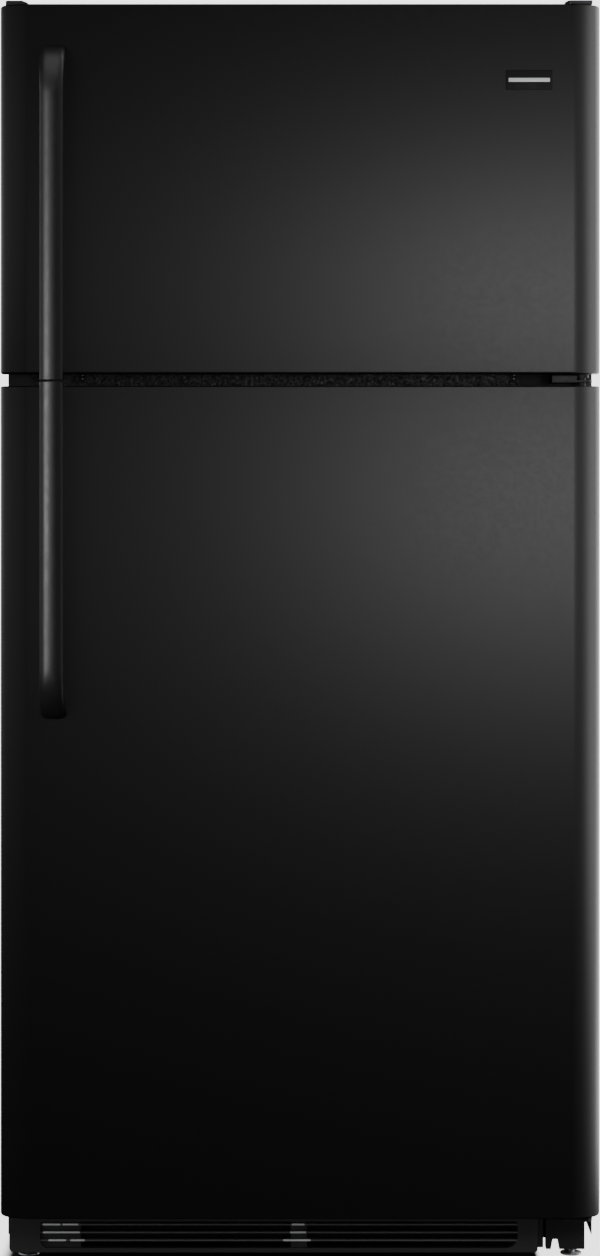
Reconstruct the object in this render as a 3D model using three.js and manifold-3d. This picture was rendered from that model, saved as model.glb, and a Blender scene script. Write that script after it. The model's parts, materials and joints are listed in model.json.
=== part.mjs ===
// A top freezer refrigerator: a foamed steel cabinet on rollers and levelling legs, two right-hinged
// doors with curved edges and bar handles, and the shelves, drawers and cooling parts inside it.
// Millimetres. X is to the right, Y to the back and Z up; the floor is Z = 0 and the origin is the
// middle of the footprint.
import * as THREE from "three";
import { mergeVertices } from "three/addons/utils/BufferGeometryUtils.js";
import Module from "manifold-3d";

const wasm = await Module();
wasm.setup();

// Driving dimensions
const GAP = 0.3; // clearance between pieces that touch
const TOTAL_DEPTH = 770;
const DOOR_HALF = 381;
const CABINET_HALF = 374.5;
const CABINET_TOP = 1602;
const CAP_TOP = 1614.5; // top of the hinge cover and of the blank cover
const FRIDGE_DOOR_BOTTOM = 70;
const FRIDGE_DOOR_TOP = 1119;
const FREEZER_DOOR_BOTTOM = 1135;
const FREEZER_DOOR_TOP = 1600;
const HANDLE_REACH = 48;
const CREASE = 28; // from a door's side to the crease where its flat front ends
const DOOR_DEPTH = 62;
const GASKET_DEPTH = 12;
const SKIN = 1.2; // steel sheet
const LINER_WALL = 2;
const HINGE_X = 358;
const PIN_RADIUS = 5;

// Depths that follow from them
const HANDLE_FACE = -TOTAL_DEPTH / 2;
const DOOR_FACE = HANDLE_FACE + HANDLE_REACH;
const DOOR_BACK = DOOR_FACE + DOOR_DEPTH;
const CABINET_FRONT = DOOR_BACK + GASKET_DEPTH;
const CABINET_BACK = TOTAL_DEPTH / 2;
const HINGE_Y = DOOR_FACE + 37;
const TOE_FACE = DOOR_FACE + 70;

// Compartments: the free space inside each liner
const FREEZER = { half: 325, back: 325, bottom: 1172, top: 1550 };
const FRESH = { half: 332, back: 325, bottom: 120, top: 1092, humpY: 148, humpZ: 310 };
const FLANGE_INNER = 345; // inner edge of the cabinet's front flange
const MACHINE_FRONT = FRESH.humpY + 42;
const MACHINE_TOP = FRESH.humpZ - 42;
const BASE_TOP = 61.5;
const PAN_TOP = 39;

// Interior heights and setbacks
const SHELF_FRONT = -150;
const SHELF_HEIGHTS = { upper: 780, lower: 560 };
const CRISPER_TOP = 317;
const CRISPER_COVER_TOP = 346;
const WIRE_SHELF_Z = 1360;
const WHEEL_X = 350;
const LEG_Y = -236;

// Colours
const material = (color, roughness, metalness = 0, more = {}) =>
  new THREE.MeshStandardMaterial({ color, roughness, metalness, ...more });
const MATERIALS = {
  blackPaint: material(0x121212, 0.38),
  blackPlastic: material(0x161616, 0.5),
  glossBlack: material(0x0a0a0a, 0.25),
  whiteLiner: material(0xeeeeea, 0.4),
  whitePlastic: material(0xf2f2ee, 0.45),
  clearPlastic: material(0xdfe8ea, 0.1, 0, { transparent: true, opacity: 0.45 }),
  glass: material(0xd8ebe6, 0.05, 0, { transparent: true, opacity: 0.35 }),
  gasket: material(0x1c1c1c, 0.8),
  foam: material(0xe2cf9a, 0.9),
  steel: material(0x9a9c9e, 0.35, 0.9),
  aluminium: material(0xb9bcc0, 0.35, 0.9),
  copper: material(0xb5713f, 0.35, 0.9),
  compressor: material(0x0d0d0d, 0.3),
  board: material(0x8c7a5c, 0.9),
  whiteWire: material(0xf0f0ec, 0.35),
};

// Solids

/** A closed three.js geometry as a solid whose faces point out. */
function solid(geometry) {
  const bare = geometry.clone();
  bare.deleteAttribute("normal");
  bare.deleteAttribute("uv");
  const merged = mergeVertices(bare, 1e-4);
  const build = (triVerts) =>
    new wasm.Manifold(
      new wasm.Mesh({ numProp: 3, vertProperties: merged.attributes.position.array, triVerts }),
    );
  const corners = Uint32Array.from(merged.index.array);
  const made = build(corners);
  return made.volume() < 0 ? build(corners.reverse()) : made;
}

const join = (...solids) => solids.flat().reduce((whole, next) => whole.add(next));
const cut = (whole, ...tools) => tools.flat().reduce((left, tool) => left.subtract(tool), whole);

/** A box between two opposite corners, given as pairs along X, Y and Z. */
function box([x0, x1], [y0, y1], [z0, z1]) {
  const geometry = new THREE.BoxGeometry(x1 - x0, y1 - y0, z1 - z0);
  return solid(geometry.translate((x0 + x1) / 2, (y0 + y1) / 2, (z0 + z1) / 2));
}

/** A box that is the same on the left and on the right. */
const pair = ([x0, x1], y, z) => [box([x0, x1], y, z), box([-x1, -x0], y, z)];

// Where each drawing direction goes when a shape is extruded along X, Y or Z
const DIRECTIONS = {
  x: new THREE.Matrix4().makeBasis(
    new THREE.Vector3(0, 1, 0),
    new THREE.Vector3(0, 0, 1),
    new THREE.Vector3(1, 0, 0),
  ),
  y: new THREE.Matrix4().makeBasis(
    new THREE.Vector3(1, 0, 0),
    new THREE.Vector3(0, 0, 1),
    new THREE.Vector3(0, -1, 0),
  ),
  z: new THREE.Matrix4(),
};

/** A shape extruded along an axis. It is drawn in YZ for x, in XZ for y and in XY for z. */
function prism(axis, shape, [from, to], curveSegments = 3) {
  const depth = to - from;
  const start = axis === "y" ? -to : from;
  const geometry = new THREE.ExtrudeGeometry(shape, { depth, bevelEnabled: false, curveSegments });
  return solid(geometry.translate(0, 0, start).applyMatrix4(DIRECTIONS[axis]));
}

/** A round bar along an axis, centred on the two other coordinates in X, Y, Z order. */
function rod(axis, radius, [from, to], [u, v], sides = 20) {
  const outline = new THREE.Shape();
  outline.absarc(u, v, radius, 0, 2 * Math.PI);
  return prism(axis, outline, [from, to], sides / 2);
}

/** A closed outline through points. */
const polygon = (...points) => new THREE.Shape(points.map(([u, v]) => new THREE.Vector2(u, v)));

/** A solid turned about Z, from a profile of radius and height that starts and ends on the axis. */
function turned(profile, sides = 24) {
  const points = profile.map(([radius, height]) => new THREE.Vector2(radius, height));
  return solid(new THREE.LatheGeometry(points, sides).rotateX(Math.PI / 2));
}

/** A rectangle with round corners. */
function roundedRectangle([u0, u1], [v0, v1], radius) {
  const outline = new THREE.Shape();
  outline.moveTo(u0 + radius, v0);
  outline.lineTo(u1 - radius, v0);
  outline.absarc(u1 - radius, v0 + radius, radius, -Math.PI / 2, 0);
  outline.absarc(u1 - radius, v1 - radius, radius, 0, Math.PI / 2);
  outline.absarc(u0 + radius, v1 - radius, radius, Math.PI / 2, Math.PI);
  outline.absarc(u0 + radius, v0 + radius, radius, Math.PI, 1.5 * Math.PI);
  return outline;
}

/** A tray open at the top. */
function tray([x0, x1], [y0, y1], [z0, z1], wall) {
  const inside = box([x0 + wall, x1 - wall], [y0 + wall, y1 - wall], [z0 + wall, z1 + 1]);
  return cut(box([x0, x1], [y0, y1], [z0, z1]), inside);
}

/** A bar of a given section swept along a curve. */
function swept(section, curve, steps) {
  return solid(new THREE.ExtrudeGeometry(section, { extrudePath: curve, steps, bevelEnabled: false }));
}

/** A round tube that runs to and fro: straight runs along X, stacked along Z, joined by half turns. */
function serpentine(radius, halfLength, runs, pitch) {
  const straight = Array.from({ length: runs }, (_, i) =>
    rod("x", radius, [-halfLength - 1, halfLength + 1], [0, i * pitch], 6),
  );
  const bends = Array.from({ length: runs - 1 }, (_, i) => {
    const side = i % 2 ? -1 : 1;
    const [low, high] = [i * pitch, (i + 1) * pitch];
    const reach = side * (halfLength + (2 / 3) * pitch);
    const corners = [[side * halfLength, low], [reach, low], [reach, high], [side * halfLength, high]];
    const points = corners.map(([x, z]) => new THREE.Vector3(x, 0, z));
    return swept(circle(0.95 * radius, 6), new THREE.CubicBezierCurve3(...points), 6);
  });
  return join(straight, bends);
}

/** A circle drawn with straight sides. */
function circle(radius, sides) {
  const angles = Array.from({ length: sides }, (_, i) => (2 * Math.PI * i) / sides);
  return polygon(...angles.map((a) => [radius * Math.cos(a), radius * Math.sin(a)]));
}

// The scene graph
const refrigerator = new THREE.Group();
const cabinet = new THREE.Group();
const freezerDoor = new THREE.Group();
const fridgeDoor = new THREE.Group();
freezerDoor.position.z = FREEZER_DOOR_BOTTOM;
fridgeDoor.position.z = FRIDGE_DOOR_BOTTOM;
refrigerator.add(cabinet, freezerDoor, fridgeDoor);

/** Adds a named mesh for a solid to a group, at a place. */
function piece(group, name, whole, look, place = [0, 0, 0]) {
  const { vertProperties, triVerts, numProp } = whole.getMesh();
  const geometry = new THREE.BufferGeometry();
  const points = new THREE.BufferAttribute(Float32Array.from(vertProperties), numProp);
  geometry.setAttribute("position", points);
  geometry.setIndex(new THREE.BufferAttribute(Uint32Array.from(triVerts), 1));
  geometry.computeVertexNormals();
  const mesh = new THREE.Mesh(geometry, MATERIALS[look]);
  mesh.name = name;
  mesh.position.set(...place);
  group.add(mesh);
}

// Cabinet body

/** Folded steel wrapper: top, sides and the front flange that the door seals meet. */
function cabinetShell() {
  const [bottom, front, back] = [32, CABINET_FRONT, CABINET_BACK - SKIN - GAP];
  const inner = CABINET_HALF - SKIN;
  const outside = box([-CABINET_HALF, CABINET_HALF], [front, back], [bottom, CABINET_TOP]);
  const inside = box([-inner, inner], [front + SKIN, back + 1], [bottom - 1, CABINET_TOP - SKIN]);
  const doorway = box([-FLANGE_INNER, FLANGE_INNER], [front - 1, front + 2], [112, 1558]);
  const toeSpace = box([-inner, inner], [front - 1, front + 2], [bottom - 1, BASE_TOP + 0.5]);
  return cut(outside, inside, doorway, toeSpace);
}

/** The free space of a compartment grown by a margin, from just ahead of the front flange. */
function freezerSpace(grow) {
  const { half, back, bottom, top } = FREEZER;
  const x = [-half - grow, half + grow];
  return box(x, [CABINET_FRONT - 2, back + grow], [bottom - grow, top + grow]);
}

function freshSpace(grow) {
  const { half, back, bottom, top, humpY, humpZ } = FRESH;
  const x = [-half - grow, half + grow];
  const front = CABINET_FRONT - 2;
  const above = box(x, [front, back + grow], [humpZ - grow, top + grow]);
  return join(above, box(x, [front, humpY + grow], [bottom - grow, top + grow]));
}

const LINER_FRONT = CABINET_FRONT + SKIN + GAP; // the liners' flanges lie behind the steel flange

/** Trims whatever stands ahead of the liners' flanges. */
const behindFlange = (whole) =>
  cut(whole, box([-400, 400], [CABINET_FRONT - 50, LINER_FRONT], [0, 1700]));

function freezerLiner() {
  const flange = box([-350, 350], [LINER_FRONT, LINER_FRONT + LINER_WALL], [1134, 1570]);
  const studs = [-110, 210].map((y) =>
    pair([FREEZER.half - 11, FREEZER.half + 1], [y, y + 20], [WIRE_SHELF_Z - 12, WIRE_SHELF_Z - 3]),
  );
  const shell = cut(join(freezerSpace(LINER_WALL), flange), freezerSpace(0));
  return behindFlange(join(shell, studs.flat()));
}

/** Fresh food liner, with shelf ledges and the boss that guides the light switch. */
function freshLiner() {
  const { half, top } = FRESH;
  const flange = box([-350, 350], [LINER_FRONT, LINER_FRONT + LINER_WALL], [108, 1130]);
  const ledges = Object.values(SHELF_HEIGHTS).map((z) =>
    pair([half - 12, half + 1], [SHELF_FRONT + 10, 300], [z - 12, z - 4 - GAP]),
  );
  const coverLedge = pair([half - 12, half + 1], [SHELF_FRONT + 10, 130], [326, CRISPER_COVER_TOP - 8 - GAP]);
  const boss = box([236, 264], [-250, -214], [1068, top + 1]);
  const shell = cut(join(freshSpace(LINER_WALL), flange), freshSpace(0));
  const whole = join(shell, ledges.flat(), coverLedge, boss);
  return behindFlange(cut(whole, rod("y", 5.2, [-251, -219], [250, 1078])));
}

function foamInsulation() {
  const inner = CABINET_HALF - SKIN - GAP;
  const [front, back] = [LINER_FRONT + LINER_WALL + GAP, CABINET_BACK - SKIN - 2 * GAP];
  const z = [BASE_TOP + 1, CABINET_TOP - SKIN - GAP];
  const machine = box([-400, 400], [MACHINE_FRONT, 400], [0, MACHINE_TOP]);
  const spaces = [freezerSpace(LINER_WALL + GAP), freshSpace(LINER_WALL + GAP)];
  return cut(box([-inner, inner], [front, back], z), spaces, machine);
}

/** Strip over the rail between the two doorways, with countersunk screw holes at its ends. */
function mullionCover() {
  const [front, z] = [CABINET_FRONT, 1132];
  const plate = box([GAP - FLANGE_INNER, FLANGE_INNER - GAP], [front, front + SKIN], [1098, 1166]);
  const holes = [-279, 275].map((x) => rod("y", 4, [front - 1, front + 3], [x, z], 16));
  return cut(plate, holes);
}

function rearPanel() {
  const y = [CABINET_BACK - SKIN, CABINET_BACK];
  return box([-CABINET_HALF + 1.5, CABINET_HALF - 1.5], y, [MACHINE_TOP + 2, CABINET_TOP - 2]);
}

/** Cover of the machine compartment, with air slots and the gland that the supply lead leaves by. */
function machineCover() {
  const y = [CABINET_BACK - 9, CABINET_BACK - 7.5];
  const plate = box([-368, 368], y, [44, MACHINE_TOP - 1]);
  const slot = (x, z) => box([x, x + 64], [y[0] - 1, y[1] + 1], [z, z + 9]);
  const rows = [96, 120, 144, 168, 192, 216];
  const columns = [-330, -250, -170, -90, -10, 70];
  const slots = rows.flatMap((z) => columns.map((x) => slot(x, z)));
  const [glandX, glandZ] = [310, 80];
  const gland = rod("y", 12, [y[0], CABINET_BACK - 1], [glandX, glandZ]);
  const bore = rod("y", 5, [y[0] - 1, CABINET_BACK], [glandX, glandZ]);
  return cut(join(cut(plate, slots), gland), bore);
}

/** Steel base: side channels, cross rails, the machine compartment's tray and the roller forks. */
function baseFrame() {
  const [web, z] = [[369, 372], [24, BASE_TOP]];
  const channels = pair(web, [-190, 375], z).concat(
    pair([333, 372], [-190, 375], [BASE_TOP - 3, BASE_TOP]),
  );
  const rails = [MACHINE_FRONT, 372].map((y) => box([-372, 372], [y, y + 3], z));
  const frontRail = box([-360, 360], [-250, -247], z);
  const shelf = box([-360, 360], [-250, -225], [BASE_TOP - 3, BASE_TOP]);
  const arms = pair([333, 360], [-226, -188], [BASE_TOP - 3, BASE_TOP]);
  const pan = box([-372, 372], [MACHINE_FRONT, 375], [PAN_TOP - 3, PAN_TOP]);
  const sides = pair(web, [MACHINE_FRONT, 375], [24, MACHINE_TOP - 1]);
  const forks = pair([341, 344], [312, 348], [10, BASE_TOP]).concat(
    pair([366, 369.5], [312, 348], [10, BASE_TOP]),
  );
  const wheelWells = pair([344, 366], [300, 360], [PAN_TOP - 4, PAN_TOP + 1]);
  const axles = [1, -1].map((side) => {
    const x = side > 0 ? [342, 368] : [-368, -342];
    return rod("x", 3.9, x, [330, 20]);
  });
  return join(cut(join(channels, rails, frontRail, shelf, arms, pan, sides), wheelWells), forks, axles);
}

// Front panels, hinges and covers

/** Toe grille: a plate with two sets of three long slots, slats between them and returns at its ends. */
function toeGrille() {
  const [left, right, bottom, top] = [-373, 305, 9, 66];
  const front = TOE_FACE;
  const outline = new THREE.Shape();
  outline.moveTo(right - 8, bottom);
  outline.lineTo(right, bottom + 4);
  outline.lineTo(right, top);
  outline.lineTo(left, top);
  outline.lineTo(left, bottom + 7);
  outline.absarc(left + 7, bottom + 7, 7, Math.PI, 1.5 * Math.PI);
  const plate = prism("y", outline, [front, front + 2.5]);
  const floor = box([left + 8, right - 8], [front, front + 14], [bottom, bottom + 2.5]);
  const end = box([left, left + 2.5], [front, front + 14], [bottom + 8, BASE_TOP]);
  const sideWall = box([right - 2.5, right], [front, front + 9], [bottom + 5, BASE_TOP - 1]);
  const lip = box([right - 2.5, right + 7.5], [front + 6.5, front + 9], [bottom + 5, BASE_TOP - 1]);
  const columns = [[-281, -12], [9, 279]];
  const [firstSlat, slatPitch, slatHeight] = [23, 10.2, 3];
  const slatBottoms = [0, 1, 2].map((i) => firstSlat + i * slatPitch);
  const slotHeight = slatPitch - slatHeight;
  const slot = (x, z) => box(x, [front - 1, front + 4], [z - slotHeight, z]);
  const slots = columns.flatMap((x) => slatBottoms.map((z) => slot(x, z)));
  const slats = slatBottoms.map((z) => box([-283, 281], [front + 1, front + 8], [z, z + slatHeight]));
  return join(cut(plate, slots), slats, floor, end, sideWall, lip);
}

/** Leaf on the cabinet top whose pin drops into the freezer door. */
function topHinge() {
  const z = CABINET_TOP + GAP;
  const leaf = prism("z", roundedRectangle([346, 369], [-313, -192], 9), [z, z + 2]);
  return join(leaf, rod("z", PIN_RADIUS, [z - 24, z + 1], [HINGE_X, HINGE_Y]));
}

/**
 * A moulded cap on the cabinet top, from its outer side inwards: upright, flat on top, then sloping down.
 * With a nose it also reaches forward, low over the door.
 */
function hingeCap(outer, flat, width, [y0, y1], nose) {
  const [wall, z, top] = [1.3, CABINET_TOP + GAP, CAP_TOP];
  const inwards = -Math.sign(outer);
  const place = ([across, height]) => [outer + inwards * across, height];
  const section = (...points) => polygon(...points.map(place));
  const shoulder = section([0, z], [0, top - 1.5], [1.5, top], [flat, top], [width, z + 1.5], [width, z]);
  const hollow = section(
    [wall, z - 1], [wall, top - 3], [flat - 1, top - 3], [width - 4, z + 1.5], [width - 4, z - 1],
  );
  const body = cut(prism("y", shoulder, [y0, y1]), prism("y", hollow, [y0 + wall, y1 - wall]));
  if (!nose) return body;
  const [x0, x1] = [outer - width, outer];
  const noseTop = z + 3.4;
  const front = prism("z", roundedRectangle([x0, x1], [nose, y0 + 20], 12), [z, noseTop]);
  const inner = roundedRectangle([x0 + wall, x1 - wall], [nose + wall, y0 + 22], 12 - wall);
  const noseHollow = prism("z", inner, [z - 1, noseTop - 1]);
  const cabinetSide = box([x0 + wall, x1 - wall], [y0 + wall, y1 - wall], [z - 1, noseTop - 1]);
  return cut(join(body, front), noseHollow, cabinetSide);
}

/** Bracket in the gap between the doors: a plate, a block that fills the gap, a thin leaf and two pins. */
function centerHinge() {
  const [face, z] = [CABINET_FRONT - GAP, 1124.3];
  const plate = box([318, 360], [face - 2, face], [1112, 1142]);
  const block = box([319, 351], [-301, face], [z - 0.8, z + 8.7]);
  const leaf = prism("z", roundedRectangle([330, 371], [-314, face], 11), [z, z + 2.5]);
  const centre = [HINGE_X, HINGE_Y];
  const pins = rod("z", PIN_RADIUS, [z - 22, z + 28], centre);
  const washer = rod("z", 9, [z + 5.7, FREEZER_DOOR_BOTTOM - GAP], centre);
  return join(plate, block, leaf, pins, washer);
}

/** Foot bracket under the fridge door: a notched front plate, a leaf and the pin. */
function bottomHinge() {
  const [bottom, leafZ] = [13.6, 60.5];
  const face = TOE_FACE;
  const outline = polygon(
    [315.5, bottom], [321.5, bottom], [324, 26.4], [330, 26.4], [332.5, bottom],
    [365, bottom], [365, leafZ + 3], [315.5, leafZ + 3],
  );
  const plate = prism("y", outline, [face, face + 3]);
  const flange = box([315.5, 318.5], [face, face + 16], [bottom, BASE_TOP - 1]);
  const leaf = prism("z", roundedRectangle([330, 371], [-314, face + 3], 11), [leafZ, leafZ + 3.5]);
  const centre = [HINGE_X, HINGE_Y];
  const pin = rod("z", PIN_RADIUS, [leafZ + 1, 92], centre);
  const washer = rod("z", 9, [leafZ + 3, FRIDGE_DOOR_BOTTOM - GAP], centre);
  return join(plate, flange, leaf, pin, washer);
}

// Doors, each drawn from its own bottom edge at Z = 0

/** Plan outline of a door: a flat front, then on each side a crease, a slope, a round corner and a taper. */
function doorOutline(inset, back) {
  const [half, face] = [DOOR_HALF - inset, DOOR_FACE + inset];
  const outline = new THREE.Shape();
  outline.moveTo(-half, back);
  outline.lineTo(-half, face + 52);
  outline.lineTo(2.2 - half, face + 28);
  outline.bezierCurveTo(2.2 - half, face + 16, 5.5 - half, face + 11.1, 10 - half, face + 8.6);
  outline.quadraticCurveTo(19 - half, face + 3.6, CREASE - half, face);
  outline.lineTo(half - CREASE, face);
  outline.quadraticCurveTo(half - 19, face + 3.6, half - 10, face + 8.6);
  outline.bezierCurveTo(half - 5.5, face + 11.1, half - 2.2, face + 16, half - 2.2, face + 28);
  outline.lineTo(half, face + 52);
  outline.lineTo(half, back);
  return outline;
}

const END_WALL = 3; // the plastic end caps at a door's top and bottom

function doorPanel(height) {
  const shell = prism("z", doorOutline(0, DOOR_BACK), [0, height]);
  const inside = prism("z", doorOutline(SKIN, DOOR_BACK + 1), [END_WALL, height - END_WALL]);
  return cut(shell, inside, rod("z", 6.5, [-1, height + 1], [HINGE_X, HINGE_Y]));
}

/** The raised walls of a door liner: bars and side dikes, each with its own rise. */
function dikes(bars, inset) {
  return bars.map(({ x, z, rise }) =>
    box(
      [x[0] + inset, x[1] - inset],
      [DOOR_BACK - 5, DOOR_BACK + rise - inset],
      [z[0] + inset, z[1] - inset],
    ),
  );
}

function doorLiner(height, bars, extras) {
  const half = DOOR_HALF - SKIN - GAP - 0.5;
  const y = [DOOR_BACK - LINER_WALL, DOOR_BACK];
  const plate = box([-half, half], y, [END_WALL + GAP, height - END_WALL - GAP]);
  const raised = cut(join(dikes(bars, 0)), box([-400, 400], [-400, y[0]], [-10, 2000]));
  return join(cut(join(plate, raised), dikes(bars, LINER_WALL)), extras);
}

function doorFoam(height, bars) {
  const inset = LINER_WALL + GAP;
  const back = DOOR_BACK - LINER_WALL - GAP;
  const z = [END_WALL + GAP, height - END_WALL - GAP];
  const block = prism("z", doorOutline(SKIN + GAP, back), z);
  const sockets = [[-1, 34], [height - 34, height + 1]].map((span) =>
    rod("z", 8, span, [HINGE_X, HINGE_Y]),
  );
  return cut(join(block, dikes(bars, inset)), sockets);
}

/** Magnetic seal: a ring whose base is narrower than the face that meets the cabinet. */
function doorGasket(height) {
  const ring = (outer, width, y) => {
    const z = [11 + 356 - outer, height - 11 - 356 + outer];
    const around = box([-outer, outer], y, z);
    const within = box(
      [width - outer, outer - width],
      [y[0] - 1, y[1] + 1],
      [z[0] + width, z[1] - width],
    );
    return cut(around, within);
  };
  const [base, face] = [DOOR_BACK + GAP, CABINET_FRONT - GAP];
  return join(ring(351, 10, [base, base + 4]), ring(356, 20, [base + 3.5, face]));
}

/** Path of a handle's centre line in the YZ plane: a straight bar, then a quarter ellipse to the door. */
function handlePath(innerEnd, bendStart, outerEnd) {
  const [bar, door] = [HANDLE_FACE + 9.1, DOOR_FACE - GAP];
  const rise = outerEnd - bendStart;
  const bend = Array.from({ length: 9 }, (_, i) => {
    const angle = ((i + 1) / 9) * (Math.PI / 2);
    const y = bar + (door - bar) * (1 - Math.cos(angle));
    return new THREE.Vector3(0, y, bendStart + rise * Math.sin(angle));
  });
  const straight = [0, 0.25, 0.5, 0.75, 0.97].map(
    (t) => new THREE.Vector3(0, bar, innerEnd + (bendStart - innerEnd) * t),
  );
  return new THREE.CatmullRomCurve3([...straight, ...bend], false, "centripetal");
}

/** Bar handle: its far end sweeps back to the door, and a foot holds its inner end. */
function handle(innerEnd, bendStart, outerEnd, [footLow, footHigh]) {
  const section = new THREE.Shape();
  section.absellipse(0, 0, 9, 15, 0, 2 * Math.PI);
  const corners = section.getPoints(8);
  corners.pop();
  const bar = swept(new THREE.Shape(corners), handlePath(innerEnd, bendStart, outerEnd), 24);
  const foot = box([-11, 11], [HANDLE_FACE + 9, DOOR_FACE - GAP], [footLow, footHigh]);
  const doorSide = box([-50, 50], [DOOR_FACE - GAP, 0], [-50, 2000]);
  return cut(join(bar, foot), doorSide);
}

/** Open tray that spans the door between its side dikes. */
const doorTray = (half, reach, bottom, height) =>
  tray([-half, half], [DOOR_BACK + 0.5, DOOR_BACK + reach], [bottom, bottom + height], 2.5);

/** Small lugs inside the side dikes that carry a tray. */
const lugs = (half, bottom) =>
  pair([half - 8, half + 2], [DOOR_BACK - 1, DOOR_BACK + 44], [bottom - 9, bottom - GAP]);

const HANDLE_X = -309.5;

function addDoor(group, name, height, bars, extras) {
  piece(group, `${name}_panel`, doorPanel(height), "blackPaint");
  piece(group, `${name}_foam`, doorFoam(height, bars), "foam");
  piece(group, `${name}_liner`, doorLiner(height, bars, extras), "whiteLiner");
  piece(group, `${name}_gasket`, doorGasket(height), "gasket");
}

function addFreezerDoor() {
  const height = FREEZER_DOOR_TOP - FREEZER_DOOR_BOTTOM;
  const [inner, outer, rack] = [290, 308, 74];
  const bars = [
    { x: [-outer, -inner], z: [48, 408], rise: 50 },
    { x: [inner, outer], z: [48, 408], rise: 50 },
    { x: [-outer, outer], z: [48, 64], rise: 20 },
    { x: [-outer, outer], z: [390, 408], rise: 20 },
  ];
  addDoor(freezerDoor, "freezer_door", height, bars, lugs(inner, rack));
  const bar = handle(-9, 344, 402, [6, 34]);
  piece(freezerDoor, "freezer_handle", bar, "blackPlastic", [HANDLE_X, 0, 0]);
  piece(freezerDoor, "freezer_door_rack", doorTray(inner - 1.5, 80, rack, 80), "whitePlastic");
  const plate = roundedRectangle([-29, 29], [-12.5, 12.5], 2);
  const y = DOOR_FACE - GAP;
  const badge = prism("y", plate, [-1.2, 0], 3);
  piece(freezerDoor, "nameplate", badge, "glossBlack", [288.5, y, 369]);
}

// Dairy compartment in the fridge door, from the door's bottom edge
const DAIRY = { left: -298, right: -20, bottom: 842, top: 970, reach: 76 };

function dairyBox() {
  const { left, right, bottom, top, reach } = DAIRY;
  const y = [DOOR_BACK - 1, DOOR_BACK + reach];
  const floor = box([left - 1, right], y, [bottom, bottom + 2.5]);
  const roof = box([left - 1, right], [y[0], y[1] - 9], [top - 2.5, top]);
  const wall = box([right - 2.5, right], y, [bottom, top]);
  const end = box([left - 1, left + 2.5], y, [bottom, top]);
  return [floor, roof, wall, end];
}

/** Flap with a rolled top edge that turns on the dairy compartment's roof line. */
function dairyLid() {
  const { left, right, bottom, top, reach } = DAIRY;
  const [x, y] = [[left + 3, right - 3], DOOR_BACK + reach];
  const flap = box(x, [y + 1, y + 3.5], [bottom - 3, top - 4]);
  const roll = rod("x", 3.5, x, [y - 1, top - 4], 14);
  const grip = box([-190, -130], [y + 3, y + 9], [bottom - 3, bottom + 3]);
  return join(flap, roll, grip);
}

function addFridgeDoor() {
  const height = FRIDGE_DOOR_TOP - FRIDGE_DOOR_BOTTOM;
  const [inner, outer] = [298, 316];
  const bins = { lower: 315, upper: 570 };
  const bars = [
    { x: [-outer, -inner], z: [56, 282], rise: 15 },
    { x: [inner, outer], z: [56, 282], rise: 15 },
    { x: [-outer, outer], z: [56, 78], rise: 15 },
    { x: [-outer, -inner], z: [280, 992], rise: 60 },
    { x: [inner, outer], z: [280, 992], rise: 60 },
    { x: [-outer, outer], z: [972, 992], rise: 30 },
  ];
  const striker = box([245, 255], [DOOR_BACK - 1, -257], [1003, 1013]);
  const extras = [striker, ...dairyBox(), ...lugs(inner, bins.lower), ...lugs(inner, bins.upper)];
  addDoor(fridgeDoor, "fridge_door", height, bars, extras);
  const bar = handle(1053, 706, 641, [1013, 1041]);
  piece(fridgeDoor, "fridge_handle", bar, "blackPlastic", [HANDLE_X, 0, 0]);
  const bin = doorTray(inner - 1.5, 95, 0, 95);
  piece(fridgeDoor, "door_bin_lower", bin, "clearPlastic", [0, 0, bins.lower]);
  piece(fridgeDoor, "door_bin_upper", bin, "clearPlastic", [0, 0, bins.upper]);
  piece(fridgeDoor, "dairy_lid", dairyLid(), "clearPlastic");
}

// Freezer inside

/** Back wall of the freezer: air slots at the bottom and a round grille over the fan. */
function evaporatorCover() {
  const y = [262, 265];
  const panel = box([-324, 324], y, [1173, 1549]);
  const through = [y[0] - 1, y[1] + 1];
  const slots = [-250, -190, -130, -70, -10, 50, 110, 170, 230].flatMap((x) =>
    [1184, 1196].map((z) => box([x, x + 44], through, [z, z + 6])),
  );
  const bars = [-36, -24, -12, 0, 12, 24, 36].map((dz) => {
    const half = Math.sqrt(46 ** 2 - dz ** 2) - 4;
    return box([-half, half], through, [1430 + dz - 4, 1430 + dz + 4]);
  });
  return cut(panel, slots, bars);
}

function evaporatorCoil() {
  const tube = serpentine(4, 235, 5, 28);
  const fins = Array.from({ length: 5 }, (_, i) => {
    const x = -224 + 112 * i;
    return box([x - 0.6, x + 0.6], [-28, 28], [-14, 126]);
  });
  return join(tube, fins);
}

/** An axial fan about Y, with blades set at an angle to its hub. */
function fan(radius, blades, depth) {
  const hub = rod("y", radius * 0.3, [-depth / 2, depth / 2], [0, 0], 18);
  const blade = (i) => {
    const geometry = new THREE.BoxGeometry(radius * 0.74, 1.6, radius * 0.62);
    geometry.rotateX(0.55).translate(radius * 0.62, 0, 0);
    return solid(geometry.rotateY((2 * Math.PI * i) / blades));
  };
  return join(hub, Array.from({ length: blades }, (_, i) => blade(i)));
}

/** Motor about Y with a strap across its back. */
function fanMotor(radius, length, strap) {
  const body = rod("y", radius, [0, length], [0, 0], 18);
  return join(body, box([-strap, strap], [length - 3, length], [-9, 9]));
}

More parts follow.
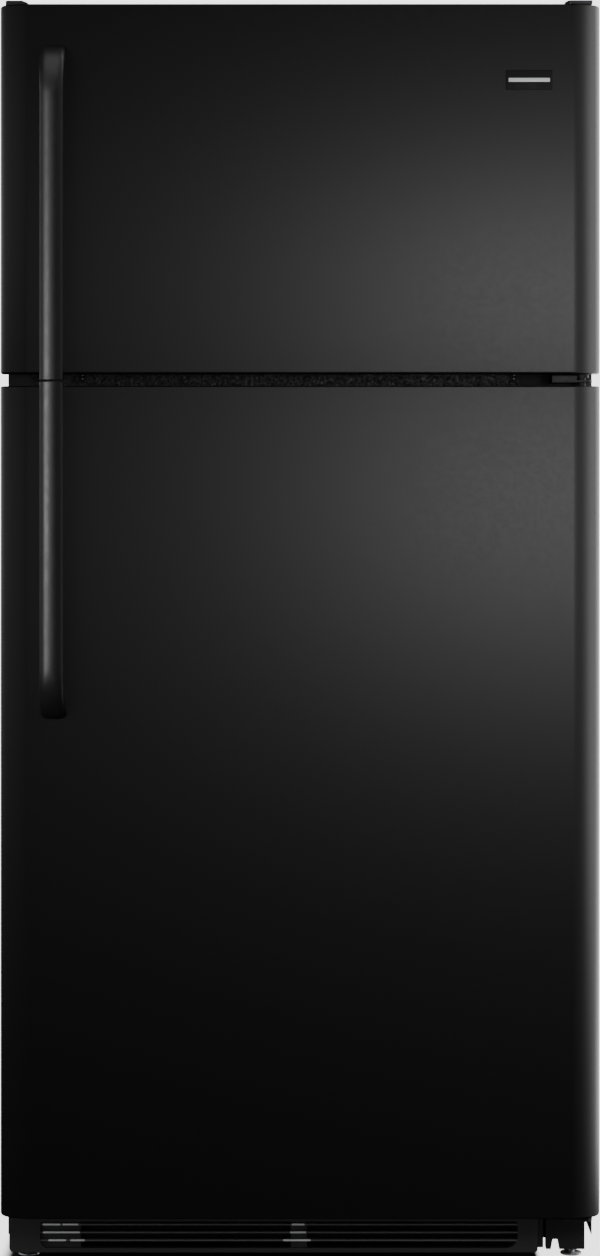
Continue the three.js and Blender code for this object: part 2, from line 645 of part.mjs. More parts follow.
/** Wire shelf: a frame, close wires from front to back and two cross wires under them. */
function wireShelf() {
  const [half, front, back] = [319, SHELF_FRONT, 250];
  const z = [-2.5, 2.5];
  const rim = join(
    box([-half, half], [front, front + 5], z),
    box([-half, half], [back - 5, back], z),
    pair([half - 5, half], [front, back], z),
  );
  const count = 15;
  const wires = Array.from({ length: count }, (_, i) => {
    const x = -half + (2 * half * (i + 1)) / (count + 1);
    return box([x - 1.5, x + 1.5], [front + 1, back - 1], [-1, 2]);
  });
  const ties = [-20, 120].map((y) => box([1 - half, half - 1], [y, y + 4], [-3.8, 0]));
  return join(rim, wires, ties);
}

// Fresh food compartment inside

/** Plastic shelf frame with a rebate that holds the glass. */
function shelfFrame() {
  const half = 329;
  const outside = box([-half, half], [SHELF_FRONT, 300], [-4, 8]);
  const opening = box([-309, 309], [-130, 280], [-5, 9]);
  return cut(outside, opening, box([-312.5, 312.5], [-133.5, 283.5], [4, 9]));
}

const shelfGlass = () => box([-312, 312], [-133, 283], [4 + GAP, 8]);

/** Drawer cover: top plate, centre leg between the drawers and a fascia with two slots. */
function crisperCover() {
  const top = box([-329.5, 329.5], [SHELF_FRONT, 144], [CRISPER_COVER_TOP - 8, CRISPER_COVER_TOP]);
  const leg = box([-3.5, 3.5], [-120, 140], [FRESH.bottom + GAP, CRISPER_COVER_TOP - 4]);
  const fascia = box([-318, 318], [SHELF_FRONT - 3, SHELF_FRONT], [320, CRISPER_COVER_TOP]);
  const slots = [-250, 170].map((x) =>
    box([x, x + 80], [SHELF_FRONT - 4, SHELF_FRONT + 10], [329, 337]),
  );
  return cut(join(top, leg, fascia), slots);
}

/** Clear drawer with a lip along its front to pull it by. */
function crisperDrawer() {
  const [x, z] = [[-158, 158], [FRESH.bottom + GAP, CRISPER_TOP]];
  const bowl = tray(x, [-140, 138], z, 3);
  const lip = box(x, [-152, -139], [z[1] - 5, z[1]]);
  const apron = box(x, [-152, -149], [z[1] - 24, z[1] - 4]);
  return join(bowl, lip, apron);
}

/** Knob of an air vent that slides in the drawer cover's slot. */
function humiditySlide() {
  const grip = prism("y", roundedRectangle([-15, 15], [-6, 6], 3), [SHELF_FRONT - 12, SHELF_FRONT - 3.5], 3);
  const stem = box([-6, 6], [SHELF_FRONT - 5, SHELF_FRONT + 2], [-3, 3]);
  return join(grip, stem, box([-6, 6], [SHELF_FRONT + GAP, SHELF_FRONT + 2], [-4.6, 4.6]));
}

const KNOB = { x: 90, z: 1066, face: -50 };

/** Box under the ceiling with the two controls on its front and the lamp's well beneath. */
function controlHousing() {
  const { x, z, face } = KNOB;
  const body = box([-200, 200], [face, 230], [1040, FRESH.top - GAP]);
  const well = box([-60, 60], [20, 200], [1039, 1080]);
  const ducts = [-150, 90].map((left) => box([left, left + 60], [180, 231], [1050, 1070]));
  const stems = [-x, x].map((at) => rod("y", 4.6, [face - 1, face + 16], [at, z], 16));
  return cut(body, well, ducts, stems);
}

function controlKnob() {
  const disc = rod("y", 19, [-10, -GAP], [0, 0], 28);
  const grip = box([-4, 4], [-18, -9], [-17.5, 17.5]);
  return join(disc, grip, rod("y", 4, [-1, 14], [0, 0], 12));
}

/** Plunger of the light switch: a stem with a domed front. */
function switchPlunger() {
  const profile = [[0, 0], [4.6, 0], [4.6, 27], [3, 29.5], [0, 30]];
  return turned(profile, 20).rotate([90, 0, 0]);
}

// Machine compartment

function compressor() {
  const profile = [
    [0, 50], [45, 52], [66, 62], [74, 82], [74, 150], [66, 172], [45, 186], [0, 190],
  ];
  const plate = box([-100, 100], [-70, 70], [PAN_TOP + 3, PAN_TOP + 6]);
  const stem = rod("z", 40, [PAN_TOP + 5, 60], [0, 0]);
  const mounts = [[-86, -56], [-86, 56], [86, -56], [86, 56]].map((at) =>
    rod("z", 10, [PAN_TOP + GAP, PAN_TOP + 12], at, 12),
  );
  const relay = box([-108, -66], [-26, 26], [90, 150]);
  const stub = rod("z", 5, [180, 225], [30, 20], 10);
  return join(turned(profile), plate, stem, mounts, relay, stub);
}

function condenserCoil() {
  const tube = serpentine(3.5, 88, 6, 27);
  const plates = Array.from({ length: 3 }, (_, i) => {
    const x = -80 + 80 * i;
    return box([x - 0.6, x + 0.6], [-20, 20], [-9, 144]);
  });
  const foot = pair([80, 83], [-20, 20], [PAN_TOP + 2 + 2 * GAP - 98, -5]);
  return join(tube, plates, foot);
}

const drainPan = () => tray([-330, -85], [205, 368], [PAN_TOP + GAP, PAN_TOP + 18], 2);

// Rollers and legs

/** A roller about X with a crowned rim and a running bore. */
function roller(radius, width) {
  const half = width / 2;
  const profile = [
    [4.4, -half], [radius - 1.5, -half], [radius, 1.5 - half], [radius, half - 1.5],
    [radius - 1.5, half], [4.4, half], [4.4, -half],
  ];
  return turned(profile, 28).rotate([0, 90, 0]);
}

/** Pressed bracket under the base with the front roller's axle and the leg's threaded boss. */
function rollerBracket(side) {
  const x = ([a, b]) => (side > 0 ? [a, b] : [-b, -a]);
  const top = box(x([334, 366]), [-246, -165], [54.5, BASE_TOP - 3 - GAP]);
  const cheeks = [[339, 341.5], [358.5, 361]].map((span) => box(x(span), [-214, -165], [12, 56]));
  const boss = rod("z", 9.5, [42, 56], [side * WHEEL_X, LEG_Y]);
  const axle = rod("x", 3.9, x([340, 360]), [-190, 20.5]);
  const bore = rod("z", 5.5, [40, 60], [side * WHEEL_X, LEG_Y]);
  return cut(join(top, cheeks, boss, axle), bore);
}

/** Levelling leg: a pad, a hexagon for a spanner and a screw. */
function levelingLeg() {
  const pad = turned([[0, 0], [14, 0], [14, 2], [7, 4.5], [0, 4.5]]);
  const hexagon = rod("z", 8.5, [14, 22], [0, 0], 6);
  return join(pad, hexagon, rod("z", PIN_RADIUS, [4, 54], [0, 0], 16));
}

// Assembly

function addCabinetBody() {
  piece(cabinet, "cabinet_shell", cabinetShell(), "blackPaint");
  piece(cabinet, "foam_insulation", foamInsulation(), "foam");
  piece(cabinet, "freezer_liner", freezerLiner(), "whiteLiner");
  piece(cabinet, "fresh_food_liner", freshLiner(), "whiteLiner");
  piece(cabinet, "mullion_cover", mullionCover(), "blackPaint");
  piece(cabinet, "rear_panel", rearPanel(), "steel");
  piece(cabinet, "machine_cover", machineCover(), "board");
  piece(cabinet, "base_frame", baseFrame(), "steel");
  piece(cabinet, "toe_grille", toeGrille(), "blackPlastic");
}

function addHinges() {
  piece(cabinet, "top_hinge", topHinge(), "blackPaint");
  piece(cabinet, "top_hinge_cover", hingeCap(372, 19, 29, [-272, -182], -320), "blackPlastic");
  piece(cabinet, "top_blank_cover", hingeCap(-374, 14, 22.5, [-262, -214]), "blackPlastic");
  piece(cabinet, "center_hinge", centerHinge(), "blackPaint");
  piece(cabinet, "bottom_hinge", bottomHinge(), "blackPaint");
}

function addFreezerInside() {
  piece(cabinet, "evaporator_cover", evaporatorCover(), "whiteLiner");
  piece(cabinet, "evaporator_coil", evaporatorCoil(), "aluminium", [0, 295, 1200]);
  piece(cabinet, "evaporator_fan", fan(42, 4, 16), "blackPlastic", [0, 280, 1430]);
  piece(cabinet, "evaporator_fan_motor", fanMotor(20, 32.5, 60), "blackPlastic", [0, 292, 1430]);
  piece(cabinet, "freezer_shelf", wireShelf(), "whiteWire", [0, 0, WIRE_SHELF_Z]);
}

function addFreshFoodInside() {
  for (const [name, z] of Object.entries(SHELF_HEIGHTS)) {
    piece(cabinet, `shelf_frame_${name}`, shelfFrame(), "whitePlastic", [0, 0, z]);
    piece(cabinet, `shelf_glass_${name}`, shelfGlass(), "glass", [0, 0, z]);
  }
  piece(cabinet, "crisper_cover", crisperCover(), "whitePlastic");
  piece(cabinet, "control_housing", controlHousing(), "whitePlastic");
  for (const [name, side] of [["left", -1], ["right", 1]]) {
    piece(cabinet, `crisper_drawer_${name}`, crisperDrawer(), "clearPlastic", [side * 164, 0, 0]);
    const slideX = side < 0 ? -242 : 178;
    piece(cabinet, `humidity_slide_${name}`, humiditySlide(), "blackPlastic", [slideX, 0, 333]);
  }
  const { x, z, face } = KNOB;
  piece(cabinet, "freezer_knob", controlKnob(), "whitePlastic", [-x, face, z]);
  piece(cabinet, "fridge_knob", controlKnob(), "whitePlastic", [x, face, z]);
  piece(cabinet, "light_switch", switchPlunger(), "whitePlastic", [250, -226, 1078]);
}

function addMachineCompartment() {
  piece(cabinet, "compressor", compressor(), "compressor", [205, 290, 0]);
  piece(cabinet, "condenser_coil", condenserCoil(), "blackPaint", [-208, 288, 98]);
  piece(cabinet, "drain_pan", drainPan(), "blackPlastic");
  const [x, y, z] = [-20, 290, 150];
  const turnedToX = (whole) => whole.rotate([0, 0, 90]);
  piece(cabinet, "condenser_fan", turnedToX(fan(62, 5, 20)), "blackPlastic", [x - 25, y, z]);
  const motor = turnedToX(fanMotor(24, 44, 80).rotate([0, 90, 0]));
  const onPan = join(motor, box([-44, -41], [-14, 14], [PAN_TOP + GAP - z, -70]));
  piece(cabinet, "condenser_fan_motor", onPan, "steel", [x + 32, y, z]);
}

function addRunningGear() {
  const front = roller(18, 14);
  const rear = roller(20, 20);
  const leg = levelingLeg();
  for (const [name, side] of [["left", -1], ["right", 1]]) {
    piece(cabinet, `front_roller_${name}`, front, "blackPlastic", [side * WHEEL_X, -190, 20.5]);
    piece(cabinet, `rear_roller_${name}`, rear, "blackPlastic", [side * 355, 330, 20]);
    piece(cabinet, `roller_bracket_${name}`, rollerBracket(side), "steel");
    piece(cabinet, `leveling_leg_${name}`, leg, "steel", [side * WHEEL_X, LEG_Y, 0]);
  }
}

addCabinetBody();
addHinges();
addFreezerDoor();
addFridgeDoor();
addFreezerInside();
addFreshFoodInside();
addMachineCompartment();
addRunningGear();

export default refrigerator;
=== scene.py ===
"""Looks for a black top freezer refrigerator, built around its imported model.

Metres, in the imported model's frame: X to the right, Y to the back, Z up, floor at Z = 0.
"""

import json
import math

import bmesh
import bpy
from mathutils import Matrix, Quaternion, Vector


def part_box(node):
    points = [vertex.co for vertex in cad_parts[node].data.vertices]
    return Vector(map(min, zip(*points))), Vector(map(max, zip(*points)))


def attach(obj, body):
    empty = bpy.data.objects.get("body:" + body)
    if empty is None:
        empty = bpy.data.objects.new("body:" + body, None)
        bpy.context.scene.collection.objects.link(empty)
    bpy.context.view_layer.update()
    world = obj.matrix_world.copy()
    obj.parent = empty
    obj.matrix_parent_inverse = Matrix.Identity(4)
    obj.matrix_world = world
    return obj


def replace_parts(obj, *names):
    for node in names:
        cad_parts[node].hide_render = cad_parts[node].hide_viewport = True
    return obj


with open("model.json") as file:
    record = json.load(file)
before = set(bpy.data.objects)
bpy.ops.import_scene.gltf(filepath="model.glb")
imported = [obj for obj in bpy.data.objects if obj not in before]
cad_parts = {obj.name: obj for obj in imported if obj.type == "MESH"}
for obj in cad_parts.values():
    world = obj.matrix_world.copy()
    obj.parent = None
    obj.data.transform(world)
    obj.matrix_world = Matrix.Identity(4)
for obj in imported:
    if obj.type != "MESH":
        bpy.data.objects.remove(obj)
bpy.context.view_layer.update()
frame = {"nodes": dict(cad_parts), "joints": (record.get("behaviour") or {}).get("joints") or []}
NODES = frame["nodes"]
MM = 0.001


# Materials


class Look:
    """A Principled material with procedural detail in object space."""

    def __init__(self, name, colour, roughness, metallic=0.0, sockets=None):
        self.material = bpy.data.materials.new(name)
        self.material.use_nodes = True
        self.tree = self.material.node_tree
        self.shader = self.tree.nodes["Principled BSDF"]
        self.shader.inputs["Base Color"].default_value = (*colour, 1.0)
        self.shader.inputs["Roughness"].default_value = roughness
        self.shader.inputs["Metallic"].default_value = metallic
        for socket, value in (sockets or {}).items():
            self.shader.inputs[socket].default_value = value
        self.height = None
        self.place = self.tree.nodes.new("ShaderNodeTexCoord").outputs["Object"]

    def stretched(self, scale):
        """Object coordinates scaled by a vector."""
        mapping = self.tree.nodes.new("ShaderNodeMapping")
        mapping.inputs["Scale"].default_value = scale
        self.tree.links.new(self.place, mapping.inputs["Vector"])
        return mapping.outputs["Vector"]

    def noise(self, scale, detail=3.0, stretch=None):
        texture = self.tree.nodes.new("ShaderNodeTexNoise")
        texture.inputs["Scale"].default_value = scale
        texture.inputs["Detail"].default_value = detail
        source = self.stretched(stretch) if stretch else self.place
        self.tree.links.new(source, texture.inputs["Vector"])
        return texture.outputs["Fac"]

    def cells(self, scale, feature="F1"):
        texture = self.tree.nodes.new("ShaderNodeTexVoronoi")
        texture.feature = feature
        texture.inputs["Scale"].default_value = scale
        self.tree.links.new(self.place, texture.inputs["Vector"])
        return texture.outputs["Distance"]

    def spread(self, value, low, high):
        """A texture's usual range, 0.3 to 0.7, stretched to low to high."""
        node = self.tree.nodes.new("ShaderNodeMapRange")
        node.inputs["From Min"].default_value = 0.3
        node.inputs["From Max"].default_value = 0.7
        node.inputs["To Min"].default_value = low
        node.inputs["To Max"].default_value = high
        self.tree.links.new(value, node.inputs["Value"])
        return node.outputs["Result"]

    def vary_roughness(self, value, low, high):
        self.tree.links.new(self.spread(value, low, high), self.shader.inputs["Roughness"])
        return self

    def vary_colour(self, value, first, second, start=0.35, end=0.65):
        ramp = self.tree.nodes.new("ShaderNodeValToRGB")
        ramp.color_ramp.elements[0].position = start
        ramp.color_ramp.elements[0].color = (*first, 1.0)
        ramp.color_ramp.elements[1].position = end
        ramp.color_ramp.elements[1].color = (*second, 1.0)
        self.tree.links.new(value, ramp.inputs["Fac"])
        self.tree.links.new(ramp.outputs["Color"], self.shader.inputs["Base Color"])
        return self

    def bump(self, value, distance, strength=1.0):
        """Relief of a real height in metres, on top of any relief already there."""
        node = self.tree.nodes.new("ShaderNodeBump")
        node.inputs["Strength"].default_value = strength
        node.inputs["Distance"].default_value = distance
        self.tree.links.new(value, node.inputs["Height"])
        if self.height:
            self.tree.links.new(self.height, node.inputs["Normal"])
        self.height = node.outputs["Normal"]
        self.tree.links.new(self.height, self.shader.inputs["Normal"])
        return self


def painted_steel():
    """Black enamel with a very fine pebble, as on the doors."""
    look = Look("door_paint", (0.0022, 0.0022, 0.0024), 0.42)
    look.vary_roughness(look.noise(180, 4), 0.405, 0.435)
    look.bump(look.cells(620, "SMOOTH_F1"), 0.00002, 0.35)
    return look.bump(look.noise(1500, 2), 0.00001, 0.3)


def pebbled_strip():
    """Coarse wrinkle paint of the strip between the doors, mottled dark and darker."""
    look = Look("mullion_paint", (0.003, 0.003, 0.003), 0.6)
    look.vary_colour(look.noise(320, 5), (0.001, 0.001, 0.001), (0.024, 0.024, 0.025), 0.42, 0.62)
    look.vary_roughness(look.noise(260, 4), 0.42, 0.95)
    return look.bump(look.cells(340, "SMOOTH_F1"), 0.0008, 1.0)


def stippled_steel():
    look = Look("cabinet_paint", (0.004, 0.004, 0.0042), 0.5)
    look.vary_roughness(look.noise(60), 0.46, 0.55)
    return look.bump(look.cells(420, "SMOOTH_F1"), 0.00012, 0.6)


def moulded(name, colour, roughness, grain=0.00004, scale=1400, sockets=None):
    look = Look(name, colour, roughness, sockets=sockets)
    look.vary_roughness(look.noise(90), roughness - 0.04, roughness + 0.04)
    return look.bump(look.noise(scale, 3), grain, 0.5)


def zinc_steel():
    look = Look("zinc_steel", (0.55, 0.56, 0.58), 0.38, metallic=1.0)
    look.vary_colour(look.cells(90), (0.48, 0.49, 0.51), (0.62, 0.63, 0.65), 0.1, 0.6)
    look.vary_roughness(look.cells(90), 0.3, 0.46)
    return look.bump(look.noise(500), 0.00002, 0.4)


def brushed(name, colour, roughness, stretch):
    look = Look(name, colour, roughness, metallic=1.0)
    grain = look.noise(1.0, 4, stretch)
    look.vary_roughness(grain, roughness - 0.08, roughness + 0.08)
    return look.bump(grain, 0.00001, 0.4)


def foam_look():
    look = Look("foam", (0.72, 0.56, 0.28), 0.9)
    look.vary_colour(look.noise(40, 6), (0.62, 0.46, 0.2), (0.8, 0.66, 0.36))
    return look.bump(look.cells(500), 0.0004, 0.8)


def fibre_board():
    look = Look("board", (0.16, 0.14, 0.12), 0.85)
    look.vary_colour(look.noise(300, 8), (0.1, 0.09, 0.075), (0.22, 0.19, 0.16))
    return look.bump(look.noise(700, 6), 0.0001, 0.7)


def clear(name, colour, roughness, ior):
    look = Look(name, colour, roughness, sockets={"IOR": ior, "Transmission Weight": 1.0})
    look.vary_roughness(look.noise(50), roughness * 0.8, roughness * 1.2 + 0.01)
    return look


LOOKS = {
    "door": painted_steel(),
    "cabinet": stippled_steel(),
    "handle": moulded("handle_plastic", (0.006, 0.006, 0.006), 0.4),
    "black": moulded("black_plastic", (0.006, 0.006, 0.006), 0.42, 0.00008, 900),
    "gloss": moulded(
        "nameplate_plastic", (0.008, 0.008, 0.008), 0.6, 0.0003, 900, {"Specular IOR Level": 0.25}
    ),
    "liner": moulded("liner", (0.80, 0.81, 0.79), 0.33, 0.00006, 260),
    "white": moulded("white_plastic", (0.84, 0.85, 0.83), 0.38),
    "clear": clear("clear_plastic", (0.93, 0.96, 0.97), 0.08, 1.49),
    "glass": clear("shelf_glass", (0.86, 0.95, 0.92), 0.02, 1.5),
    "seal": moulded("seal", (0.012, 0.012, 0.012), 0.6, 0.00005, 700),
    "foam": foam_look(),
    "zinc": zinc_steel(),
    "coil": moulded("coil_paint", (0.008, 0.008, 0.008), 0.4),
    "pot": moulded("compressor_paint", (0.004, 0.004, 0.004), 0.22, sockets={"Coat Weight": 0.5}),
    "fins": brushed("aluminium", (0.78, 0.79, 0.8), 0.3, (40, 40, 900)),
    "copper": brushed("copper", (0.72, 0.36, 0.2), 0.3, (300, 300, 300)),
    "board": fibre_board(),
    "wire": moulded("white_wire", (0.82, 0.83, 0.81), 0.3),
    # Pale finish: the nameplate's printed bar, and also the painted highlights on the toe grille's slats.
    "mark": moulded("pale_print_and_painted_glint", (0.62, 0.63, 0.64), 0.35),
    "print": moulded("dark_print", (0.05, 0.055, 0.06), 0.5),
    "strip": pebbled_strip(),
    # Lighter than the black plastic: a painted reflection of bright surroundings seen at a grazing angle on
    # the caps.
    "cap": moulded("cap_plastic_painted_reflection", (0.035, 0.035, 0.036), 0.5, 0.00008, 700),
    "hinge": moulded("hinge_paint", (0.013, 0.013, 0.014), 0.6, 0.00008, 500),
    "plug": moulded("plug_plastic", (0.006, 0.006, 0.006), 0.75, 0.0001, 600),
    "grille": moulded("grille_plastic", (0.03, 0.03, 0.031), 0.5, 0.00006, 700),
    # The slats are the grille's own plastic, made lighter as a painted highlight along their rounded edges.
    "slat": moulded("slat_plastic_painted_highlight", (0.09, 0.09, 0.092), 0.4, 0.00006, 900),
    "milk": moulded("lamp_glass", (0.9, 0.9, 0.86), 0.25),
}


# Mesh tools


def smooth(mesh, angle=35.0):
    """Smooth shading, with edges sharper than the angle kept sharp."""
    mesh.polygons.foreach_set("use_smooth", [True] * len(mesh.polygons))
    mesh.set_sharp_from_angle(angle=math.radians(angle))


def make_piece(name, bm, look, body, angle=35.0):
    """A new object from a bmesh, with its finish, riding on a body."""
    bmesh.ops.remove_doubles(bm, verts=bm.verts, dist=1e-7)
    bmesh.ops.recalc_face_normals(bm, faces=bm.faces)
    mesh = bpy.data.meshes.new(name)
    bm.to_mesh(mesh)
    bm.free()
    smooth(mesh, angle)
    piece = bpy.data.objects.new(name, mesh)
    bpy.context.scene.collection.objects.link(piece)
    mesh.materials.append(LOOKS[look].material)
    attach(piece, body)
    return piece


def bevelled(piece, width, segments=2):
    """Rounds a piece's sharp edges."""
    bevel = piece.modifiers.new("bevel", "BEVEL")
    bevel.width = width
    bevel.segments = segments
    bevel.limit_method = "ANGLE"
    bevel.angle_limit = math.radians(30)
    bevel.harden_normals = True
    return piece


def dress(node, look, bevel=0.0, segments=2):
    """Gives a CAD node its finish, and small round edges."""
    piece = NODES[node]
    piece.data.materials.clear()
    piece.data.materials.append(LOOKS[look].material)
    smooth(piece.data)
    if bevel:
        flat = piece.modifiers.new("merge_flats", "DECIMATE")
        flat.decimate_type = "DISSOLVE"
        flat.angle_limit = math.radians(0.5)
        bevelled(piece, bevel, segments)
    return piece


def loft(bm, rings, closed=False):
    """Skins rings of equal length, and closes the ends or joins the last ring to the first."""
    rows = [[bm.verts.new(p) for p in ring] for ring in rings]
    count = len(rows[0])
    following = rows[1:] + rows[:1] if closed else rows[1:]
    for low, high in zip(rows, following):
        for i in range(count):
            j = (i + 1) % count
            bm.faces.new((low[i], low[j], high[j], high[i]))
    if not closed:
        bm.faces.new(list(reversed(rows[0])))
        bm.faces.new(rows[-1])


def cuboid(bm, low, high, bevel=0.0, segments=2):
    """A box with round edges."""
    made = bmesh.ops.create_cube(bm, size=1.0)["verts"]
    size = Vector(high) - Vector(low)
    centre = (Vector(high) + Vector(low)) / 2
    bmesh.ops.scale(bm, vec=size, verts=made)
    bmesh.ops.translate(bm, vec=centre, verts=made)
    if bevel:
        edges = list({e for v in made for e in v.link_edges})
        bmesh.ops.bevel(bm, geom=edges, offset=bevel, segments=segments, affect="EDGES", profile=0.5)


def frames_along(points, closed=False):
    """Tangent and two normals at each point of a path, turning as little as they can."""
    count = len(points)
    tangents = []
    for i in range(count):
        before = points[i - 1] if closed or i else points[0]
        after = points[(i + 1) % count] if closed or i + 1 < count else points[-1]
        tangents.append((after - before).normalized())
    helper = Vector((0, 0, 1)) if abs(tangents[0].z) < 0.9 else Vector((1, 0, 0))
    normal = (helper - tangents[0] * helper.dot(tangents[0])).normalized()
    found = []
    for tangent in tangents:
        normal = (normal - tangent * normal.dot(tangent)).normalized()
        found.append((tangent, normal, tangent.cross(normal)))
    return found


def tube(bm, points, radius, sides=12, closed=False):
    """A round tube along a path, in metres."""
    points = [Vector(p) for p in points]
    rings = []
    for point, (_, across, up) in zip(points, frames_along(points, closed)):
        ring = []
        for i in range(sides):
            angle = 2 * math.pi * i / sides
            ring.append(point + radius * (math.cos(angle) * across + math.sin(angle) * up))
        rings.append(ring)
    loft(bm, rings, closed=closed)


def turned(bm, profile, centre, axis="Z", sides=32):
    """A solid of revolution from (radius, height) pairs that start and end on the axis."""
    quarter = math.pi / 2
    spin = {
        "X": Matrix.Rotation(quarter, 3, "Y"),
        "Y": Matrix.Rotation(-quarter, 3, "X"),
        "-Y": Matrix.Rotation(quarter, 3, "X"),
        "Z": Matrix.Identity(3),
    }[axis]
    rings = []
    for radius, height in profile:
        ring = []
        for i in range(sides):
            angle = 2 * math.pi * i / sides
            local = Vector((radius * math.cos(angle), radius * math.sin(angle), height))
            ring.append(Vector(centre) + spin @ local)
        rings.append(ring)
    loft(bm, rings)


def prism(bm, outline, span, axis="Y"):
    """An outline in millimetres, drawn out along an axis over a span in millimetres."""

    def place(u, v, along):
        return {"X": (along, u, v), "Y": (u, along, v), "Z": (u, v, along)}[axis]

    loft(bm, [[MM * Vector(place(u, v, along)) for u, v in outline] for along in span])


def round_outline(across, up, radii, steps=6):
    """Rectangle with a radius for each corner, anticlockwise from the lower left one."""
    (left, right), (low, high) = across, up
    corners = ((left, low, 1, 1), (right, low, -1, 1), (right, high, -1, -1), (left, high, 1, -1))
    points = []
    for quarter, ((x, z, inward_x, inward_z), radius) in enumerate(zip(corners, radii)):
        for i in range(steps + 1):
            angle = math.pi * (1 + quarter / 2 + i / steps / 2)
            shift_x, shift_z = inward_x + math.cos(angle), inward_z + math.sin(angle)
            points.append((x + radius * shift_x, z + radius * shift_z))
    return points


def block(bm, x, y, z, bevel=0.0, segments=2):
    """A box with round edges from its spans in millimetres."""
    low, high = zip(x, y, z)
    cuboid(bm, MM * Vector(low), MM * Vector(high), bevel * MM, segments)


def disc(bm, profile, centre, axis="Z", sides=32):
    """A turned solid from a profile and a centre in millimetres."""
    turned(bm, [(radius * MM, height * MM) for radius, height in profile], MM * Vector(centre), axis, sides)


def pipe(bm, points, radius, sides=12, closed=False):
    """A tube in millimetres: a closed ring of straight parts, or a smooth curve through the points."""
    if closed:
        tube(bm, [MM * Vector(p) for p in points], radius * MM, sides, True)
        return
    ends = [points[0], *points, points[-1]]
    parts = 8
    curve = []
    for i in range(1, len(ends) - 2):
        a, b, c, d = (Vector(ends[i + k]) for k in (-1, 0, 1, 2))
        for k in range(parts):
            t = k / parts
            square, cube = (2 * a - 5 * b + 4 * c - d) * t**2, (3 * b - a - 3 * c + d) * t**3
            curve.append(0.5 * (2 * b + (c - a) * t + square + cube))
    curve.append(Vector(points[-1]))
    tube(bm, [MM * p for p in curve], radius * MM, sides)


def screw(bm, place, axis, radius):
    """Pan head with a driver recess, its seat at the place."""
    head = [(1, 0.25), (0.85, 0.5), (0.5, 0.62), (0.42, 0.62), (0.3, 0.15), (0, 0.1)]
    profile = [(0, -1), (radius, -1)] + [(out * radius, height * radius) for out, height in head]
    disc(bm, profile, place, axis, 18)


def spans(node):
    """A node's extents in millimetres, as X, Y and Z spans."""
    low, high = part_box(node)
    return [(low[i] / MM, high[i] / MM) for i in range(3)]


def frame_joint(name):
    """A joint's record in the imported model."""
    return next(joint for joint in frame["joints"] if joint["name"] == name)


def cut_with(piece, cutter):
    """Subtracts one closed mesh from another, for good."""
    change = piece.modifiers.new("cut", "BOOLEAN")
    change.operation = "DIFFERENCE"
    change.object = cutter
    change.solver = "EXACT"
    evaluated = piece.evaluated_get(bpy.context.evaluated_depsgraph_get())
    mesh = bpy.data.meshes.new_from_object(evaluated)
    piece.modifiers.remove(change)
    old = piece.data
    piece.data = mesh
    mesh.name = old.name
    bpy.data.meshes.remove(old)
    bpy.data.objects.remove(cutter)
    smooth(mesh)


def cutter_from(bm):
    """A plain object from a bmesh, for cut_with to use up."""
    bmesh.ops.recalc_face_normals(bm, faces=bm.faces)
    mesh = bpy.data.meshes.new("cutter")
    bm.to_mesh(mesh)
    bm.free()
    cutter = bpy.data.objects.new("cutter", mesh)
    bpy.context.scene.collection.objects.link(cutter)
    return cutter


# Doors


def cubic(a, b, c, d, t):
    """A point on a Bezier curve."""
    s = 1 - t
    return a * s**3 + 3 * b * s**2 * t + 3 * c * s * t**2 + d * t**3


def half_outline(half, face, back):
    """Right half of a door in plan: flat front, crease, slope, round corner, taper to the back."""

    def place(inwards, behind):
        return Vector((half - inwards * MM, face + behind * MM))

    flat_end, crease, slope_end = place(38, 0), place(36.5, 0), place(9, 12)
    corner_end, taper_end = place(1.2, 31), place(0, 52)
    slope_pull = place(19.5, 2.8)
    slope = [crease, crease.lerp(slope_pull, 2 / 3), slope_end.lerp(slope_pull, 2 / 3), slope_end]
    corner = [slope_end, place(4.5, 16), place(2, 22), corner_end]
    slope_steps, corner_steps = 10, 16
    points = [flat_end]
    points += [cubic(*slope, i / slope_steps) for i in range(slope_steps)]
    points += [cubic(*corner, i / corner_steps) for i in range(corner_steps + 1)]
    return points + [taper_end, Vector((half, back))]


def offset_outline(points, distance):
    """The outline moved inwards, which is to the left of its run from left to right."""
    moved = []
    for i, point in enumerate(points):
        before = points[max(i - 1, 0)]
        after = points[min(i + 1, len(points) - 1)]
        along = (after - before).normalized()
        moved.append(point + distance * Vector((-along.y, along.x)))
    return moved


def door_panel(door):
    """Painted front with soft side edges and rounded ends, and a pocket for the liner at its back."""
    low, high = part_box(f"{door}_panel")
    half, face, back = high.x, low.y, high.y
    right = half_outline(half, face, back)
    left = [Vector((-p.x, p.y)) for p in reversed(right)]
    outline = left + right
    radius, steps = 1.8 * MM, 5
    turns = [math.pi / 2 * i / steps for i in range(steps + 1)]
    rings = [(low.z + radius * (1 - math.cos(turn)), radius * (1 - math.sin(turn))) for turn in turns]
    rings += [(low.z + high.z - z, inset) for z, inset in reversed(rings)]
    bm = bmesh.new()
    levels = []
    for z, inset in rings:
        ring = offset_outline(outline, inset)
        ring[0].y = ring[-1].y = back
        levels.append([Vector((p.x, p.y, z)) for p in ring])
    loft(bm, levels)
    piece = make_piece(f"{door}_front", bm, "door", door, 30)
    wall, end_wall, depth, past = 1.7 * MM, 3 * MM, 2.6 * MM, 0.01
    pocket = bmesh.new()
    pocket_low = (-half + wall, back - depth, low.z + end_wall)
    pocket_high = (half - wall, back + past, high.z - end_wall)
    cuboid(pocket, pocket_low, pocket_high)
    cut_with(piece, cutter_from(pocket))
    bore, reach = 6.5 * MM, 0.03
    hinge_x, hinge_y, _ = frame_joint(f"{door}_hinge")["pos_m"]
    for z in (low.z, high.z):
        hole = bmesh.new()
        turned(hole, [(0, -reach), (bore, -reach), (bore, reach), (0, reach)], (hinge_x, hinge_y, z))
        cut_with(piece, cutter_from(hole))
    smooth(piece.data, 30)
    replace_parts(piece, f"{door}_panel")


def squarer(value, power):
    """A sine or cosine raised to a power with its sign kept, which makes an oval squarer."""
    return math.copysign(abs(value) ** power, value)


